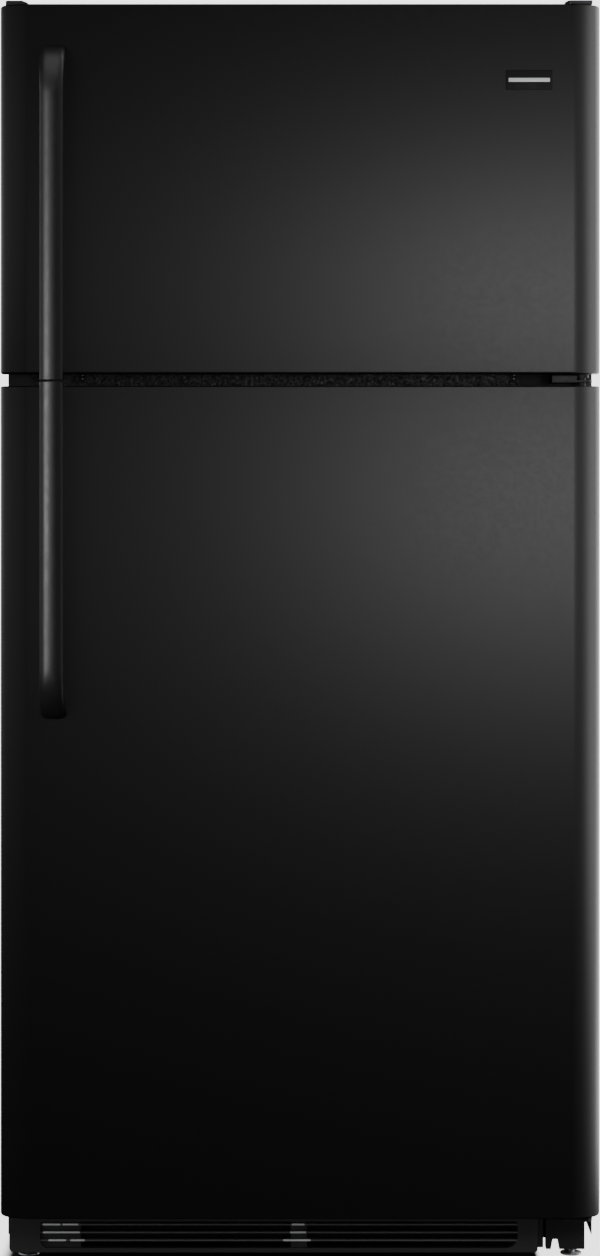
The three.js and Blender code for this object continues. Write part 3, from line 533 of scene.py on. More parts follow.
def handle(door, outer_is_top):
    """Oval bar that sweeps back to the door at its outer end and stands on a foot at its inner end."""
    node = f"{door.split('_')[0]}_handle"
    low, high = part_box(node)
    x = (low.x + high.x) / 2
    way = 1 if outer_is_top else -1
    inner, outer = (low.z, high.z) if outer_is_top else (high.z, low.z)
    outer += way * 2.5 * MM
    depth, width, bend_length = 9 * MM, 15 * MM, 66 * MM
    bar_y, door_y = low.y + depth, high.y
    bend = outer - way * bend_length
    straight = (0, 0.03, 0.25, 0.5, 0.75, 0.97)
    path = [Vector((x, bar_y, inner + way * t * abs(bend - inner))) for t in straight]
    steps, sides = 16, 40
    for i in range(steps + 1):
        angle = math.pi / 2 * i / steps
        y = bar_y + (door_y - bar_y + 1 * MM) * (1 - math.cos(angle))
        path.append(Vector((x, y, bend + way * (bend_length - depth) * math.sin(angle))))
    rings = []
    last = len(path) - 1
    for k, point in enumerate(path):
        bent = max(0, k - (last - steps)) / steps
        power = 0.88 - 0.16 * bent
        half_width = width + 2 * MM * bent
        before, after = path[max(k - 1, 0)], path[min(k + 1, last)]
        along = (after - before).normalized()
        out = Vector((0, along.z, -along.y)) * -way
        ring = []
        for i in range(sides):
            angle = 2 * math.pi * i / sides
            u, v = squarer(math.cos(angle), power), squarer(math.sin(angle), power)
            ring.append(point + half_width * u * Vector((1, 0, 0)) + depth * v * out)
        rings.append(ring)
    bm = bmesh.new()
    loft(bm, rings)
    piece = make_piece(f"{door}_handle_bar", bm, "handle", door, 40)
    trim = bmesh.new()
    reach = 0.1
    cuboid(trim, (x - reach, door_y, low.z - reach), (x + reach, door_y + reach, high.z + reach))
    cut_with(piece, cutter_from(trim))
    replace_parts(piece, node)
    foot = bmesh.new()
    foot_half, foot_near, foot_far = 11 * MM, 15 * MM, 43 * MM
    bottom, top = sorted((inner + way * foot_near, inner + way * foot_far))
    cuboid(foot, (x - foot_half, bar_y, bottom), (x + foot_half, door_y, top), 2 * MM, 3)
    make_piece(f"{door}_handle_foot", foot, "handle", door)


def nameplate():
    """Dark plate with a plain pale bar on it."""
    low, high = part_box("nameplate")
    bm = bmesh.new()
    cuboid(bm, low, high, 0.5 * MM, 3)
    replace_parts(make_piece("door_plate", bm, "gloss", "freezer_door"), "nameplate")
    margin, half_height, raised, sunk = 3 * MM, 2.5 * MM, 0.3 * MM, 0.2 * MM
    middle = (low.z + high.z) / 2
    bar_low = (low.x + margin, low.y - raised, middle - half_height)
    bar_high = (high.x - margin, low.y + sunk, middle + half_height)
    bar = bmesh.new()
    cuboid(bar, bar_low, bar_high, 0.25 * MM)
    make_piece("door_plate_bar", bar, "mark", "freezer_door")


def gasket(door):
    """Magnetic seal: a foot, a bellows and a wide face, run round the door with mitred corners."""
    low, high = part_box(f"{door}_gasket")
    depth = (high.y - low.y) / MM
    right = [(14, 0), (14, 3), (11.5, 4.2), (15.5, 5.4), (11.5, 6.6), (19, 7.4), (20, 9), (20, depth)]
    left = [(0, depth), (0, 9), (1, 7.4), (8.5, 6.6), (4.5, 5.4), (8.5, 4.2), (6, 3)]
    profile = [(6, 0), *right, *left]
    bm = bmesh.new()
    rings = []
    for side_x, side_z in ((-1, -1), (1, -1), (1, 1), (-1, 1)):
        x = low.x if side_x < 0 else high.x
        z = low.z if side_z < 0 else high.z
        rings.append([Vector((x - side_x * u * MM, low.y + v * MM, z - side_z * u * MM)) for u, v in profile])
    loft(bm, rings, closed=True)
    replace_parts(make_piece(f"{door}_seal", bm, "seal", door, 50), f"{door}_gasket")


for door in ("freezer_door", "fridge_door"):
    door_panel(door)
    gasket(door)
    inset = dress(f"{door}_foam", "foam").modifiers.new("inset_under_skin", "DISPLACE")
    inset.mid_level = 0.0
    inset.strength = -3 * MM
    dress(f"{door}_liner", "liner", 1.0 * MM, 3)
handle("freezer_door", True)
handle("fridge_door", False)
nameplate()
dress("freezer_door_rack", "white", 0.8 * MM)
for node in ("door_bin_lower", "door_bin_upper", "dairy_lid"):
    dress(node, "clear", 0.8 * MM)


# Cabinet


def toe_grille():
    """Plate with a long rounded recess, three slats across it, and painted highlights on the slats at its
    left end and middle.
    """
    (left, _), (front, _), (bottom, top) = spans("toe_grille")
    right = 305
    plate, surround = bmesh.new(), bmesh.new()
    prism(plate, round_outline((left, right), (bottom, top), (7, 5, 1, 1)), (front, front + 2.5))
    rim = round_outline((-336, 282), (12, 51), (10, 16, 5, 5))
    prism(surround, rim, (front + 1.5, front + 9))
    recess = round_outline((-333, 279), (14.6, 48.6), (9, 15, 4, 4))
    for name, solid in (("toe_grille_plate", plate), ("toe_grille_surround", surround)):
        piece = make_piece(name, solid, "grille", "cabinet", 30)
        cutter = bmesh.new()
        prism(cutter, recess, (front - 2, front + 12))
        cut_with(piece, cutter_from(cutter))
        bevelled(piece, 0.7 * MM, 3)
        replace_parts(piece, "toe_grille")
    returns = bmesh.new()
    block(returns, (left, left + 2.5), (front + 1, front + 14), (bottom + 8, 61.5), 0.5)
    block(returns, (left + 8, right - 8), (front + 1, front + 14), (bottom, bottom + 2.5), 0.5)
    block(returns, (right - 2.5, right), (front + 1, front + 9), (bottom + 5, 60.5), 0.5)
    block(returns, (right - 2.5, right + 7.5), (front + 6.5, front + 9), (bottom + 5, 60.5), 0.5)
    for blind in ((-334, -281), (-12, 9)):
        block(returns, blind, (front + 5.5, front + 7.5), (13, 50), 0.3)
    make_piece("toe_grille_returns", returns, "grille", "cabinet")
    # The pale bars on the slat fronts are painted highlights: glints of light on the slats, drawn as pale
    # pieces.
    slats, glint_bars = bmesh.new(), bmesh.new()
    first, pitch = 23, 10.2
    painted_glints_on_slats = (
        ((-323, -300), (-295, -276), (-22, 14)),
        ((-330, -282), (-13, 8)),
        ((-330, -307), (-305, -284), (-11, 6)),
    )
    for i, glinting_spans in enumerate(painted_glints_on_slats):
        z = first + pitch * i
        block(slats, (-333.5, 279.5), (front + 0.6, front + 8), (z + 0.2, z + 2.6), 1.0, 4)
        for span in glinting_spans:
            block(glint_bars, span, (front + 0.2, front + 3), (z + 0.3, z + 2.9), 1.0, 3)
    make_piece("toe_grille_slats", slats, "slat", "cabinet")
    make_piece("toe_grille_painted_glints", glint_bars, "mark", "cabinet")


def centre_hinge():
    """Plate, block, thin leaf, pin, washer and a dark pad in the gap between the doors."""
    (left, right), (tip, face), (low, high) = spans("center_hinge")
    leaf = low + 22
    pin_x, pin_y = (value / MM for value in frame_joint("fridge_door_hinge")["pos_m"][:2])
    bm = bmesh.new()
    block(bm, (left, 360), (face - 2, face), (leaf - 12, leaf + 18), 0.4)
    block(bm, (left + 1, 351), (tip + 0.5, face), (leaf - 0.8, leaf + 8.7), 0.8, 3)
    prism(bm, round_outline((330, right), (tip, face), (11, 11, 0.5, 0.5), 10), (leaf, leaf + 2.5), "Z")
    pin = [(0, low), (3.8, low), (5, low + 1.5), (5, high - 1.5), (3.8, high), (0, high)]
    washer = [(0, leaf + 5.7), (9, leaf + 5.7), (9, leaf + 10.4), (0, leaf + 10.4)]
    disc(bm, pin, (pin_x, pin_y, 0))
    disc(bm, washer, (pin_x, pin_y, 0), sides=40)
    pad = bmesh.new()
    block(pad, (left - 36, left - 0.5), (face - 1.2, face), (leaf - 11, leaf + 16), 0.5)
    make_piece("gap_hinge_pad", pad, "plug", "cabinet")
    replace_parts(bevelled(make_piece("gap_hinge", bm, "hinge", "cabinet"), 0.3 * MM), "center_hinge")


def top_caps():
    """Cap over the top hinge at the right, with a tongue over the door, and its blank twin at the left."""
    _, (front, back), (low, high) = spans("top_blank_cover")
    crown = high + 1.2
    blank = [(-378, low), (-344, low), (-350, high - 1.5), (-357, crown), (-377, crown), (-378, high)]
    bm = bmesh.new()
    prism(bm, blank, (front, back))
    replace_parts(bevelled(make_piece("blank_cap", bm, "cap", "cabinet"), 0.6 * MM), "top_blank_cover")
    _, (tip, back), (low, high) = spans("top_hinge_cover")
    hood = [(336, low), (366.5, low), (366.5, high - 1), (365.5, high), (345, high), (340, high - 2)]
    bm = bmesh.new()
    prism(bm, hood, (-272, back))
    block(bm, (343, 370), (tip, -270), (low, low + 5), 0.8, 3)
    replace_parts(bevelled(make_piece("hinge_cap", bm, "cap", "cabinet"), 0.6 * MM), "top_hinge_cover")


def mullion_plugs():
    """Two small hollow plugs in the strip between the doors."""
    front = spans("mullion_cover")[1][0]
    plug = [(0, -4), (5.6, -4), (5.6, 0.2), (5, 0.6), (2.8, 0.6), (2.3, -3), (0, -3)]
    bm = bmesh.new()
    for x in (-279, 275):
        disc(bm, plug, (x, front, 1132), "-Y", 24)
    make_piece("mullion_plugs", bm, "plug", "cabinet")


def back_details():
    """Stiffening beads and screws on the rear panel, and screws round the machine cover."""
    (left, right), (_, back), (low, high) = spans("rear_panel")
    beads = bmesh.new()
    for x in (-190, 0, 190):
        bead = round_outline((x - 11, x + 11), (low + 120, high - 120), (10.9,) * 4, 8)
        prism(beads, bead, (back - 0.5, back + 2.2))
    bevelled(make_piece("rear_panel_beads", beads, "zinc", "cabinet"), 0.8 * MM)
    screws = bmesh.new()
    margin, gaps = 14, 6
    rows = [low + margin + (high - low - 2 * margin) * i / gaps for i in range(gaps + 1)]
    for x in (left + 12, right - 12):
        for z in rows:
            screw(screws, (x, back, z), "Y", 4)
    for x in (-120, 120):
        screw(screws, (x, back, high - margin), "Y", 4)
    (left, right), (front, _), (low, high) = spans("machine_cover")
    for x in (left + 10, -120, 120, right - 10):
        for z in (low + 8, high - 8):
            screw(screws, (x, front + 1.5, z), "Y", 4)
    make_piece("back_screws", screws, "zinc", "cabinet")


dress("cabinet_shell", "cabinet", 0.8 * MM, 3)
dress("foam_insulation", "foam")
for node in ("freezer_liner", "fresh_food_liner"):
    dress(node, "liner", 1.2 * MM, 3)
dress("mullion_cover", "strip", 0.3 * MM)
dress("rear_panel", "zinc", 0.2 * MM)
dress("machine_cover", "board", 0.3 * MM)
dress("base_frame", "cabinet", 0.5 * MM)
for node in ("top_hinge", "bottom_hinge"):
    dress(node, "hinge", 0.4 * MM)
top_caps()
toe_grille()
centre_hinge()
mullion_plugs()
back_details()

# Running gear


def rollers():
    """Wheels with a tread, a rim and a hub, each on its own body."""
    sides = 48
    for end in ("front", "rear"):
        for side in ("left", "right"):
            name = f"{end}_roller_{side}"
            (x0, x1), (y0, y1), _ = spans(name)
            radius, half = (y1 - y0) / 2, (x1 - x0) / 2
            x, y, z = (value / MM for value in frame_joint(f"{name}_roll")["pos_m"])
            hub = [(4.3, -half), (8, -half), (8.5, 1 - half)]
            rim = [(radius - 5, 1 - half), (radius - 4, -half), (radius - 1.2, -half), (radius, 1.2 - half)]
            tread = [(radius, -0.8), (radius - 0.6, -0.4)]
            one_side = hub + rim + tread
            profile = one_side + [(out, -along) for out, along in reversed(one_side)]
            rings = []
            for i in range(sides):
                angle = 2 * math.pi * i / sides
                turn_y, turn_z = math.cos(angle), math.sin(angle)
                rings.append([MM * Vector((x + along, y + out * turn_y, z + out * turn_z))
                              for out, along in profile])
            bm = bmesh.new()
            loft(bm, rings, closed=True)
            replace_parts(make_piece(f"{name}_wheel", bm, "black", name), name)


def levelling_legs():
    """Pads with a hexagon and a threaded stem."""
    pad_top, hexagon_top = 14, 22
    core, crest, turns = 4.2, 4.9, 20
    for side in ("left", "right"):
        name = f"leveling_leg_{side}"
        x, y, _ = (value / MM for value in frame_joint(f"{name}_turn")["pos_m"])
        low, high = spans(name)[2]
        sole = [(0, low), (13.4, low), (14, low + 0.6), (13.6, 2), (7, 4.5)]
        pad = [*sole, (4.9, 5), (4.9, pad_top), (0, pad_top)]
        nut = [(0, pad_top), (8, pad_top), (8.5, 14.6), (8.5, 21.4), (8, hexagon_top), (0, hexagon_top)]
        pitch = (high - 23) / turns
        thread = [(0, hexagon_top)]
        for i in range(turns):
            thread += [(crest, 22.2 + pitch * i), (core, 22.2 + pitch * (i + 0.5))]
        thread += [(core, high), (0, high)]
        bm = bmesh.new()
        for profile, sides in ((pad, 40), (nut, 6), (thread, 24)):
            disc(bm, profile, (x, y, 0), sides=sides)
        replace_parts(make_piece(f"{name}_screw", bm, "zinc", name, 50), name)


for node in ("roller_bracket_left", "roller_bracket_right"):
    dress(node, "zinc", 0.3 * MM)
rollers()
levelling_legs()

# Inside


def wire_shelf():
    """Round wires: a rim with bent corners, close wires across it and three ties."""
    (left, right), (front, back), (_, top) = spans("freezer_shelf")
    z, rim = top - 2.5, 2.5
    corners = round_outline((left + rim, right - rim), (front + rim, back - rim), (14,) * 4, 6)
    bm = bmesh.new()
    pipe(bm, [(x, y, z) for x, y in corners], rim, 12, True)
    count = 27
    for i in range(count):
        x = left + (right - left) * (i + 1) / (count + 1)
        pipe(bm, [(x, front + rim, z), (x, back - rim, z)], 1.5, 10)
    for y in (front + 70, (front + back) / 2, back - 70):
        pipe(bm, [(left + rim, y, z - 2.8), (right - rim, y, z - 2.8)], 1.6, 10)
    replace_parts(make_piece("freezer_shelf_wires", bm, "wire", "cabinet"), "freezer_shelf")


def shelf_rails():
    """Moulded ledges on the liners' side walls, under each shelf."""
    bm = bmesh.new()
    rails = (("shelf_frame_upper", 332, 8), ("shelf_frame_lower", 332, 8), ("freezer_shelf", 325, 7))
    for side in (-1, 1):
        for node, wall, drop in rails:
            _, (front, back), (low, _) = spans(node)
            x = sorted((side * (wall - 13), side * (wall + 0.5)))
            block(bm, x, (front + 8, back - 4), (low - drop, low - 0.4), 2.5, 4)
    make_piece("shelf_rails", bm, "liner", "cabinet")


def interior_lamp():
    """Bulb and holder in the control housing's well, behind a ribbed lens."""
    base = spans("control_housing")[2][0]
    holder, bulb, lens = bmesh.new(), bmesh.new(), bmesh.new()
    centre = (0, 110, base + 22)
    disc(holder, [(0, -58), (15, -58), (16, -56), (16, -34), (14, -32), (0, -32)], centre, "X", 28)
    outline = [(0, -34), (9, -34), (10, -26)]
    outline += [(10 + 9 * math.sin(math.pi * t / 12), -26 + 5 * t) for t in range(1, 10)]
    outline += [(13, 22), (7, 27), (0, 28)]
    disc(bulb, outline, centre, "X", 32)
    block(lens, (-59.5, 59.5), (20.5, 199.5), (base + 0.4, base + 2.2), 0.5)
    for i in range(14):
        y = 30 + 12.3 * i
        block(lens, (-56, 56), (y, y + 3), (base + 1.9, base + 3.4), 0.6)
    make_piece("lamp_holder", holder, "white", "cabinet")
    make_piece("lamp_bulb", bulb, "milk", "cabinet")
    make_piece("lamp_lens", lens, "clear", "cabinet")


def knob_marks():
    """Scale ticks round each control knob, and a line on each grip."""
    ticks = bmesh.new()
    face = spans("control_housing")[1][0]
    first_angle, step, tick_count = 225, 45, 7
    tick_start, tick_end = 20.5, 24
    for name in ("freezer", "fridge"):
        x, _, z = (value / MM for value in frame_joint(f"{name}_knob_turn")["pos_m"])
        for i in range(tick_count):
            angle = math.radians(first_angle - step * i)
            along = Vector((math.cos(angle), math.sin(angle)))
            across = Vector((-along.y, along.x)) * (0.45 + 0.12 * i)
            inner, outer = Vector((x, z)) + tick_start * along, Vector((x, z)) + tick_end * along
            quad = [inner - across, outer - across, outer + across, inner + across]
            prism(ticks, [(p.x, p.y) for p in quad], (face - 0.35, face + 0.1))
        pointer = bmesh.new()
        tip = spans(f"{name}_knob")[1][0]
        block(pointer, (x - 0.7, x + 0.7), (tip - 0.25, tip + 0.4), (z + 5, z + 16.5), 0.15)
        make_piece(f"{name}_knob_line", pointer, "print", f"{name}_knob")
    make_piece("control_marks", ticks, "print", "cabinet")


def cover_screws():
    """Four screws that hold the evaporator's cover."""
    bm = bmesh.new()
    (left, right), (front, _), (low, high) = spans("evaporator_cover")
    for x in (left + 16, right - 16):
        for z in (low + 50, high - 18):
            screw(bm, (x, front, z), "-Y", 4.5)
    make_piece("evaporator_cover_screws", bm, "white", "cabinet")


def fan(node, joint, axis, radius, depth, blades):
    """Hub with a domed nose and curved, twisted blades."""
    centre = Vector(frame_joint(joint)["pos_m"]) / MM
    hub, half = radius * 0.3, depth / 2
    nose = [(hub, half - 3), (hub - 2.5, half - 0.6), (0, half)]
    bm = bmesh.new()
    disc(bm, [(0, -half), (hub - 1, -half), (hub, 1 - half), *nose], centre, axis, 36)
    steps, chord_steps = 7, 8
    for blade in range(blades):
        rings = []
        for i in range(steps + 1):
            reach = hub - 1 + (radius - hub + 1) * i / steps
            sweep = math.radians(14 + 12 * i / steps)
            pitch = (0.75 - 0.3 * i / steps) * half
            upper, lower = [], []
            for k in range(chord_steps + 1):
                t = 2 * k / chord_steps - 1
                angle = 2 * math.pi * blade / blades + sweep * t + 0.25 * i / steps
                height = pitch * t + 1.5 * (1 - t * t)
                thick = 0.75 * math.sqrt(max(1 - t * t, 0.08))
                for points, offset in ((upper, thick), (lower, -thick)):
                    u, v, w = reach * math.cos(angle), reach * math.sin(angle), height + offset
                    local = (w, u, v) if axis == "X" else (u, w, v)
                    points.append(MM * (centre + Vector(local)))
            rings.append(upper + lower[::-1])
        loft(bm, rings)
    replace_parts(make_piece(f"{node}_blades", bm, "black", node, 40), node)


dress("evaporator_cover", "liner", 0.5 * MM)
dress("evaporator_coil", "fins")
dress("evaporator_fan_motor", "black", 0.5 * MM)
fan("evaporator_fan", "evaporator_fan_spin", "Y", 41.5, 16, 5)
for level in ("upper", "lower"):
    dress(f"shelf_frame_{level}", "white", 1.2 * MM, 3)
    dress(f"shelf_glass_{level}", "glass", 0.4 * MM)
dress("crisper_cover", "white", 1.0 * MM, 3)
dress("control_housing", "white", 1.5 * MM, 3)
for side in ("left", "right"):
    dress(f"crisper_drawer_{side}", "clear", 1.2 * MM, 3)
    dress(f"humidity_slide_{side}", "black", 0.5 * MM)
for node in ("freezer_knob", "fridge_knob", "light_switch"):
    dress(node, "white", 0.6 * MM, 3)
wire_shelf()
shelf_rails()
interior_lamp()
knob_marks()
cover_screws()

# Machine compartment


def compressor():
    """Welded pot on a plate with rubber feet, with its relay box and the refrigerant tubes."""
    (low_x, high_x), (low_y, high_y), (floor_z, _) = spans("compressor")
    x, y = high_x - 100, (low_y + high_y) / 2
    pot, feet, box, tubes = bmesh.new(), bmesh.new(), bmesh.new(), bmesh.new()
    steps, shell = 10, 74
    quarter = [math.pi / 2 * i / steps for i in range(steps + 1)]
    lower = [(shell * math.sin(a), 84 - 34 * math.cos(a)) for a in quarter]
    upper = [(shell * math.cos(a), 150 + 40 * math.sin(a)) for a in quarter]
    seam = [(shell, 114), (77, 114.5), (77.4, 117), (77, 119.5), (shell, 120)]
    disc(pot, lower + seam + upper, (x, y, 0), sides=64)
    disc(pot, [(0, 44), (44, 44), (44, 56), (0, 56)], (x, y, 0), sides=32)
    block(pot, (x - 100, x + 100), (y - 70, y + 70), (42, 45), 1.2, 2)
    foot_low = [(0, floor_z), (9, floor_z), (10, 40.5), (8, 42)]
    foot_high = [(8, 45), (10, 46.5), (9.5, 50), (4, 50.4), (0, 50.4)]
    for dx in (-86, 86):
        for dy in (-56, 56):
            disc(feet, foot_low + foot_high, (x + dx, y + dy, 0), sides=24)
    block(box, (low_x, x - 68), (y - 26, y + 26), (90, 150), 3, 3)
    block(box, (low_x - 1.2, low_x + 2), (y - 8, y + 8), (86, 154), 0.6, 2)
    stub = (x + 30, y + 20)
    over_the_pot = [(*stub, 172), (*stub, 226), (x + 44, y + 34, 243), (x + 95, y + 48, 246)]
    down_the_wall = [(345, y + 52, 238), (352, y + 52, 180), (352, y + 52, 90)]
    pipe(tubes, over_the_pot + down_the_wall, 4, 14)
    past_the_pot = [(x - 40, y - 52, 76), (x - 70, y - 72, 70), (60, 212, 66), (-60, 212, 66)]
    to_the_condenser = [(-88, 226, 78), (-104, 262, 96), (-112, 278, 98)]
    pipe(tubes, past_the_pot + to_the_condenser, 2.6, 12)
    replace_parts(make_piece("compressor_pot", pot, "pot", "cabinet"), "compressor")
    make_piece("compressor_feet", feet, "seal", "cabinet")
    make_piece("compressor_relay_box", box, "black", "cabinet")
    make_piece("refrigerant_tubes", tubes, "copper", "cabinet")


def condenser():
    """Two rows of bent tube through close fins, between two end plates."""
    (left, right), (front, back), (low, high) = spans("condenser_coil")
    tubes, fins = bmesh.new(), bmesh.new()
    rows, pitch, first = 6, 27, low + 56.4
    bend, reach, bend_steps = pitch / 2, 88, 8
    x = (left + right) / 2
    for y in (front + 11, back - 11):
        path = []
        for row in range(rows):
            z = first + pitch * row
            way = 1 if row % 2 == 0 else -1
            path += [Vector((x - way * reach, y, z)), Vector((x + way * reach, y, z))]
            if row < rows - 1:
                for i in range(1, bend_steps):
                    angle = math.pi * i / bend_steps
                    out = way * (reach + bend * math.sin(angle))
                    path.append(Vector((x + out, y, z + bend * (1 - math.cos(angle)))))
        tube(tubes, [MM * p for p in path], 3.4 * MM, 12)
    fin_count, fin_reach = 36, 82
    for i in range(fin_count):
        at = x - fin_reach + 2 * fin_reach * i / (fin_count - 1)
        block(fins, (at - 0.2, at + 0.2), (front, back), (first - 9, high), 0.0)
    for side in (-1, 1):
        at = x + side * 85.5
        block(tubes, (at - 0.8, at + 0.8), (front, back), (low, high), 0.4)
    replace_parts(make_piece("condenser_tubes", tubes, "coil", "cabinet"), "condenser_coil")
    make_piece("condenser_fins", fins, "fins", "cabinet")


dress("drain_pan", "black", 0.8 * MM)
dress("condenser_fan_motor", "zinc", 0.5 * MM)
fan("condenser_fan", "condenser_fan_spin", "X", 62, 20, 5)
compressor()
condenser()

# Studio


BRIGHT_WALL = 3.2


def ramp(tree, value, start, end, top):
    """Zero up to the start, and top beyond the end, with a smooth step between."""
    node = tree.nodes.new("ShaderNodeMapRange")
    node.interpolation_type = "SMOOTHSTEP"
    node.inputs["From Min"].default_value = start
    node.inputs["From Max"].default_value = end
    node.inputs["To Max"].default_value = top
    tree.links.new(value, node.inputs["Value"])
    return node.outputs["Result"]


def maths(tree, operation, a, b):
    """A maths node on two outputs or numbers."""
    node = tree.nodes.new("ShaderNodeMath")
    node.operation = operation
    for socket, value in zip(node.inputs, (a, b)):
        if isinstance(value, float):
            socket.default_value = value
        else:
            tree.links.new(value, socket)
    return node.outputs["Value"]


def floor():
    """Pale floor that glows to the camera, but not under the fridge, where it is painted dark as a painted
    shadow.

    Reflections see it dark, as in a dark studio, and bright at the fridge's right.
    """
    mesh = bpy.data.meshes.new("floor")
    reach = 30
    corners = [(-reach, -reach, 0), (reach, -reach, 0), (reach, reach, 0), (-reach, reach, 0)]
    mesh.from_pydata(corners, [], [(0, 1, 2, 3)])
    plane = bpy.data.objects.new("floor", mesh)
    bpy.context.scene.collection.objects.link(plane)
    below_the_feet = 0.0004
    plane.location.z = -below_the_feet
    material = bpy.data.materials.new("floor")
    material.use_nodes = True
    tree = material.node_tree
    pale = tree.nodes["Principled BSDF"]
    pale.inputs["Roughness"].default_value = 0.8
    pale.inputs["Specular IOR Level"].default_value = 0.1
    pale.inputs["Emission Color"].default_value = (1, 1, 1, 1)
    place = tree.nodes.new("ShaderNodeSeparateXYZ")
    tree.links.new(tree.nodes.new("ShaderNodeNewGeometry").outputs["Position"], place.inputs["Vector"])
    lit = ramp(tree, place.outputs["X"], 0.5, 0.9, BRIGHT_WALL)
    behind = ramp(tree, place.outputs["Y"], -0.6, -0.2, 1.0)
    strength = maths(tree, "ADD", maths(tree, "MULTIPLY", lit, behind), 0.01)
    seen = tree.nodes.new("ShaderNodeEmission")
    tree.links.new(strength, seen.inputs["Strength"])
    path = tree.nodes.new("ShaderNodeLightPath")
    mix = tree.nodes.new("ShaderNodeMixShader")
    to_left = maths(tree, "MULTIPLY", place.outputs["X"], -1.0)
    to_front = maths(tree, "MULTIPLY", place.outputs["Y"], -1.0)
    # Mask: 0 under the fridge's footprint, where the floor carries a painted shadow, and 1 on the open floor.
    outside_painted_shadow = ramp(tree, place.outputs["X"], 0.303, 0.312, 1.0)
    for value, start, end in ((to_left, 0.37, 0.39), (to_front, 0.25, 0.33), (place.outputs["Y"], 0.33, 0.4)):
        outside_painted_shadow = maths(tree, "MAXIMUM", outside_painted_shadow, ramp(tree, value, start, end, 1.0))
    shade = tree.nodes.new("ShaderNodeMapRange")
    shade.inputs["To Min"].default_value = 0.03
    shade.inputs["To Max"].default_value = 0.82
    tree.links.new(outside_painted_shadow, shade.inputs["Value"])
    tree.links.new(shade.outputs["Result"], pale.inputs["Base Color"])
    # The camera glow is also left out under the fridge, as part of the painted shadow.
    glow = maths(tree, "MULTIPLY", outside_painted_shadow, maths(tree, "MULTIPLY", path.outputs["Is Camera Ray"], 2.4))
    tree.links.new(glow, pale.inputs["Emission Strength"])
    tree.links.new(path.outputs["Is Glossy Ray"], mix.inputs["Fac"])
    tree.links.new(pale.outputs["BSDF"], mix.inputs[1])
    tree.links.new(seen.outputs["Emission"], mix.inputs[2])
    tree.links.new(mix.outputs["Shader"], tree.nodes["Material Output"].inputs["Surface"])
    mesh.materials.append(material)


def room():
    """White surroundings.

    Reflections see a dark room with a bright wall at the right and behind, a faint glow at the right and
    a low band of light at the left.
    """
    world = bpy.data.worlds.new("studio")
    bpy.context.scene.world = world
    world.use_nodes = True
    tree = world.node_tree
    nodes, links = tree.nodes, tree.links
    background = nodes["Background"]
    path = nodes.new("ShaderNodeLightPath")
    direction = nodes.new("ShaderNodeTexCoord").outputs["Generated"]
    split = nodes.new("ShaderNodeSeparateXYZ")
    links.new(direction, split.inputs["Vector"])

    right = ramp(tree, split.outputs["X"], 0.3, 0.7, 1.0)
    behind = ramp(tree, split.outputs["Y"], 0.0, 0.2, BRIGHT_WALL)
    wall = maths(tree, "MULTIPLY", right, behind)
    right_glow = ramp(tree, split.outputs["X"], 0.3, 0.8, 0.4)
    leftwards = maths(tree, "MULTIPLY", split.outputs["X"], -1.0)
    left = maths(tree, "ADD", ramp(tree, leftwards, -0.02, 0.25, 0.52), ramp(tree, leftwards, 0.25, 0.6, 0.6))
    above_floor = ramp(tree, split.outputs["Z"], -0.3, -0.05, 1.0)
    below_ceiling = ramp(tree, maths(tree, "MULTIPLY", split.outputs["Z"], -1.0), -0.25, -0.08, 1.0)
    left_glow = maths(tree, "MULTIPLY", left, maths(tree, "MULTIPLY", above_floor, below_ceiling))
    glossy = maths(tree, "ADD", maths(tree, "ADD", wall, right_glow), maths(tree, "ADD", left_glow, 0.012))
    seen = maths(tree, "MULTIPLY", path.outputs["Is Camera Ray"], 3.0)
    other = maths(tree, "MAXIMUM", seen, 0.55)
    mix = nodes.new("ShaderNodeMix")
    links.new(path.outputs["Is Glossy Ray"], mix.inputs["Factor"])
    links.new(other, mix.inputs["A"])
    links.new(glossy, mix.inputs["B"])
    links.new(mix.outputs["Result"], background.inputs["Color"])
    background.inputs["Strength"].default_value = 1.0


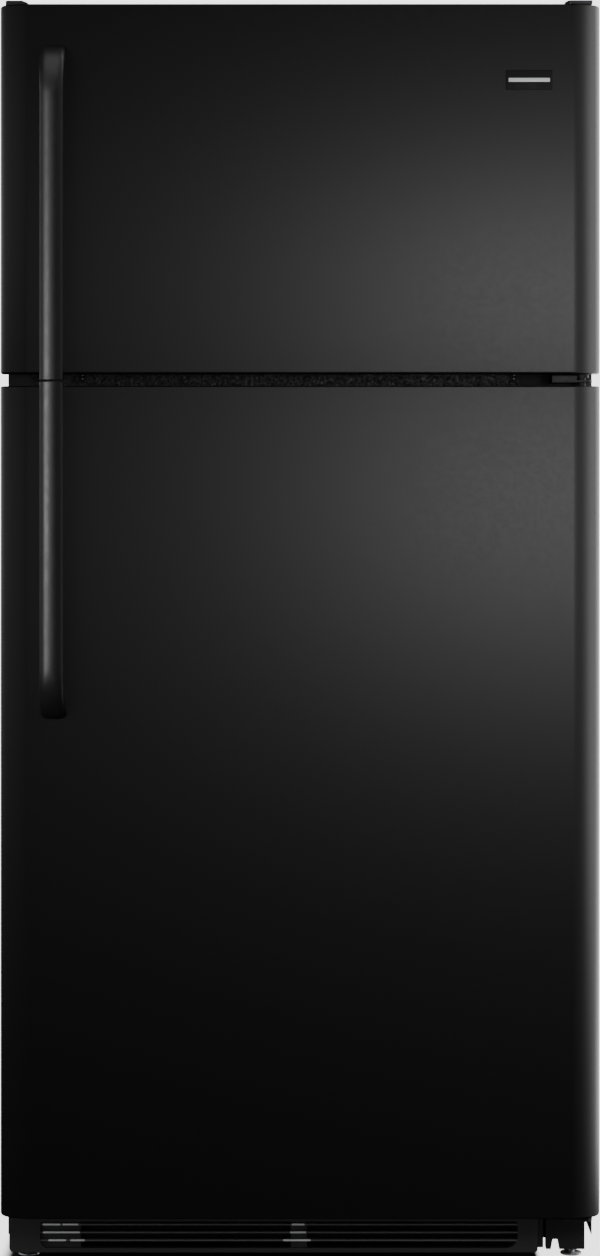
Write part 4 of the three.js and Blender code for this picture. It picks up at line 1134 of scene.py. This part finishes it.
def softbox(name, place, target, width, height, power, roll=0, only=(), never=()):
    """A soft rectangular lamp, which can be kept to some pieces, or off pieces that then cast no shadow."""
    data = bpy.data.lights.new(name, "AREA")
    data.shape = "RECTANGLE"
    data.size = width
    data.size_y = height
    data.energy = power
    lamp = bpy.data.objects.new(name, data)
    bpy.context.scene.collection.objects.link(lamp)
    lamp.location = place
    aim = (Vector(target) - Vector(place)).to_track_quat("-Z", "Y")
    lamp.rotation_euler = (aim @ Quaternion((0, 0, 1), math.radians(roll))).to_euler()
    lamp.visible_camera = False
    if only or never:
        linked = bpy.data.collections.new(f"{name}_pieces")
        for piece in only or never:
            linked.objects.link(bpy.data.objects[piece])
        lamp.light_linking.receiver_collection = linked
        if never:
            lamp.light_linking.blocker_collection = linked
        for entry in linked.collection_objects:
            entry.light_linking.link_state = "INCLUDE" if only else "EXCLUDE"


def camera():
    """Straight on to the doors, at chest height, with the view shifted down to take in the whole front."""
    eye_height, view_centre, view_height = 1.032, 0.81425, 1.5809
    distance = 3.7
    sensor = 36
    data = bpy.data.cameras.new("camera")
    data.sensor_fit = "VERTICAL"
    data.sensor_height = sensor
    data.lens = sensor * distance / view_height
    data.shift_y = (view_centre - eye_height) / view_height
    eye = bpy.data.objects.new("camera", data)
    bpy.context.scene.collection.objects.link(eye)
    door_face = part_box("fridge_door_panel")[0].y
    eye.location = (0, door_face - distance, eye_height)
    eye.rotation_euler = (math.pi / 2, 0, 0)
    bpy.context.scene.camera = eye


floor()
room()
DOORS = [f"{door}_front" for door in ("freezer_door", "fridge_door")]
HANDLES = [f"{door}_handle_{part}" for door in ("freezer_door", "fridge_door") for part in ("bar", "foot")]
softbox("key_right", (0.55, -1.95, 1.17), (0.3, 0, 1.15), 0.75, 0.55, 9.4, never=HANDLES)
softbox("strip_left", (-1.45, -2.5, 1.02), (-0.3, -0.3, 1.01), 1.2, 0.8, 39, roll=20, only=HANDLES)
softbox("high_left", (-0.4, -1.2, 3.0), (-0.32, -0.38, 1.5), 2.0, 1.6, 12, only=HANDLES)
softbox("edge_right", (2.3, -0.95, 0.9), (0.35, -0.3, 0.9), 1.1, 3.0, 36, only=DOORS)
camera()
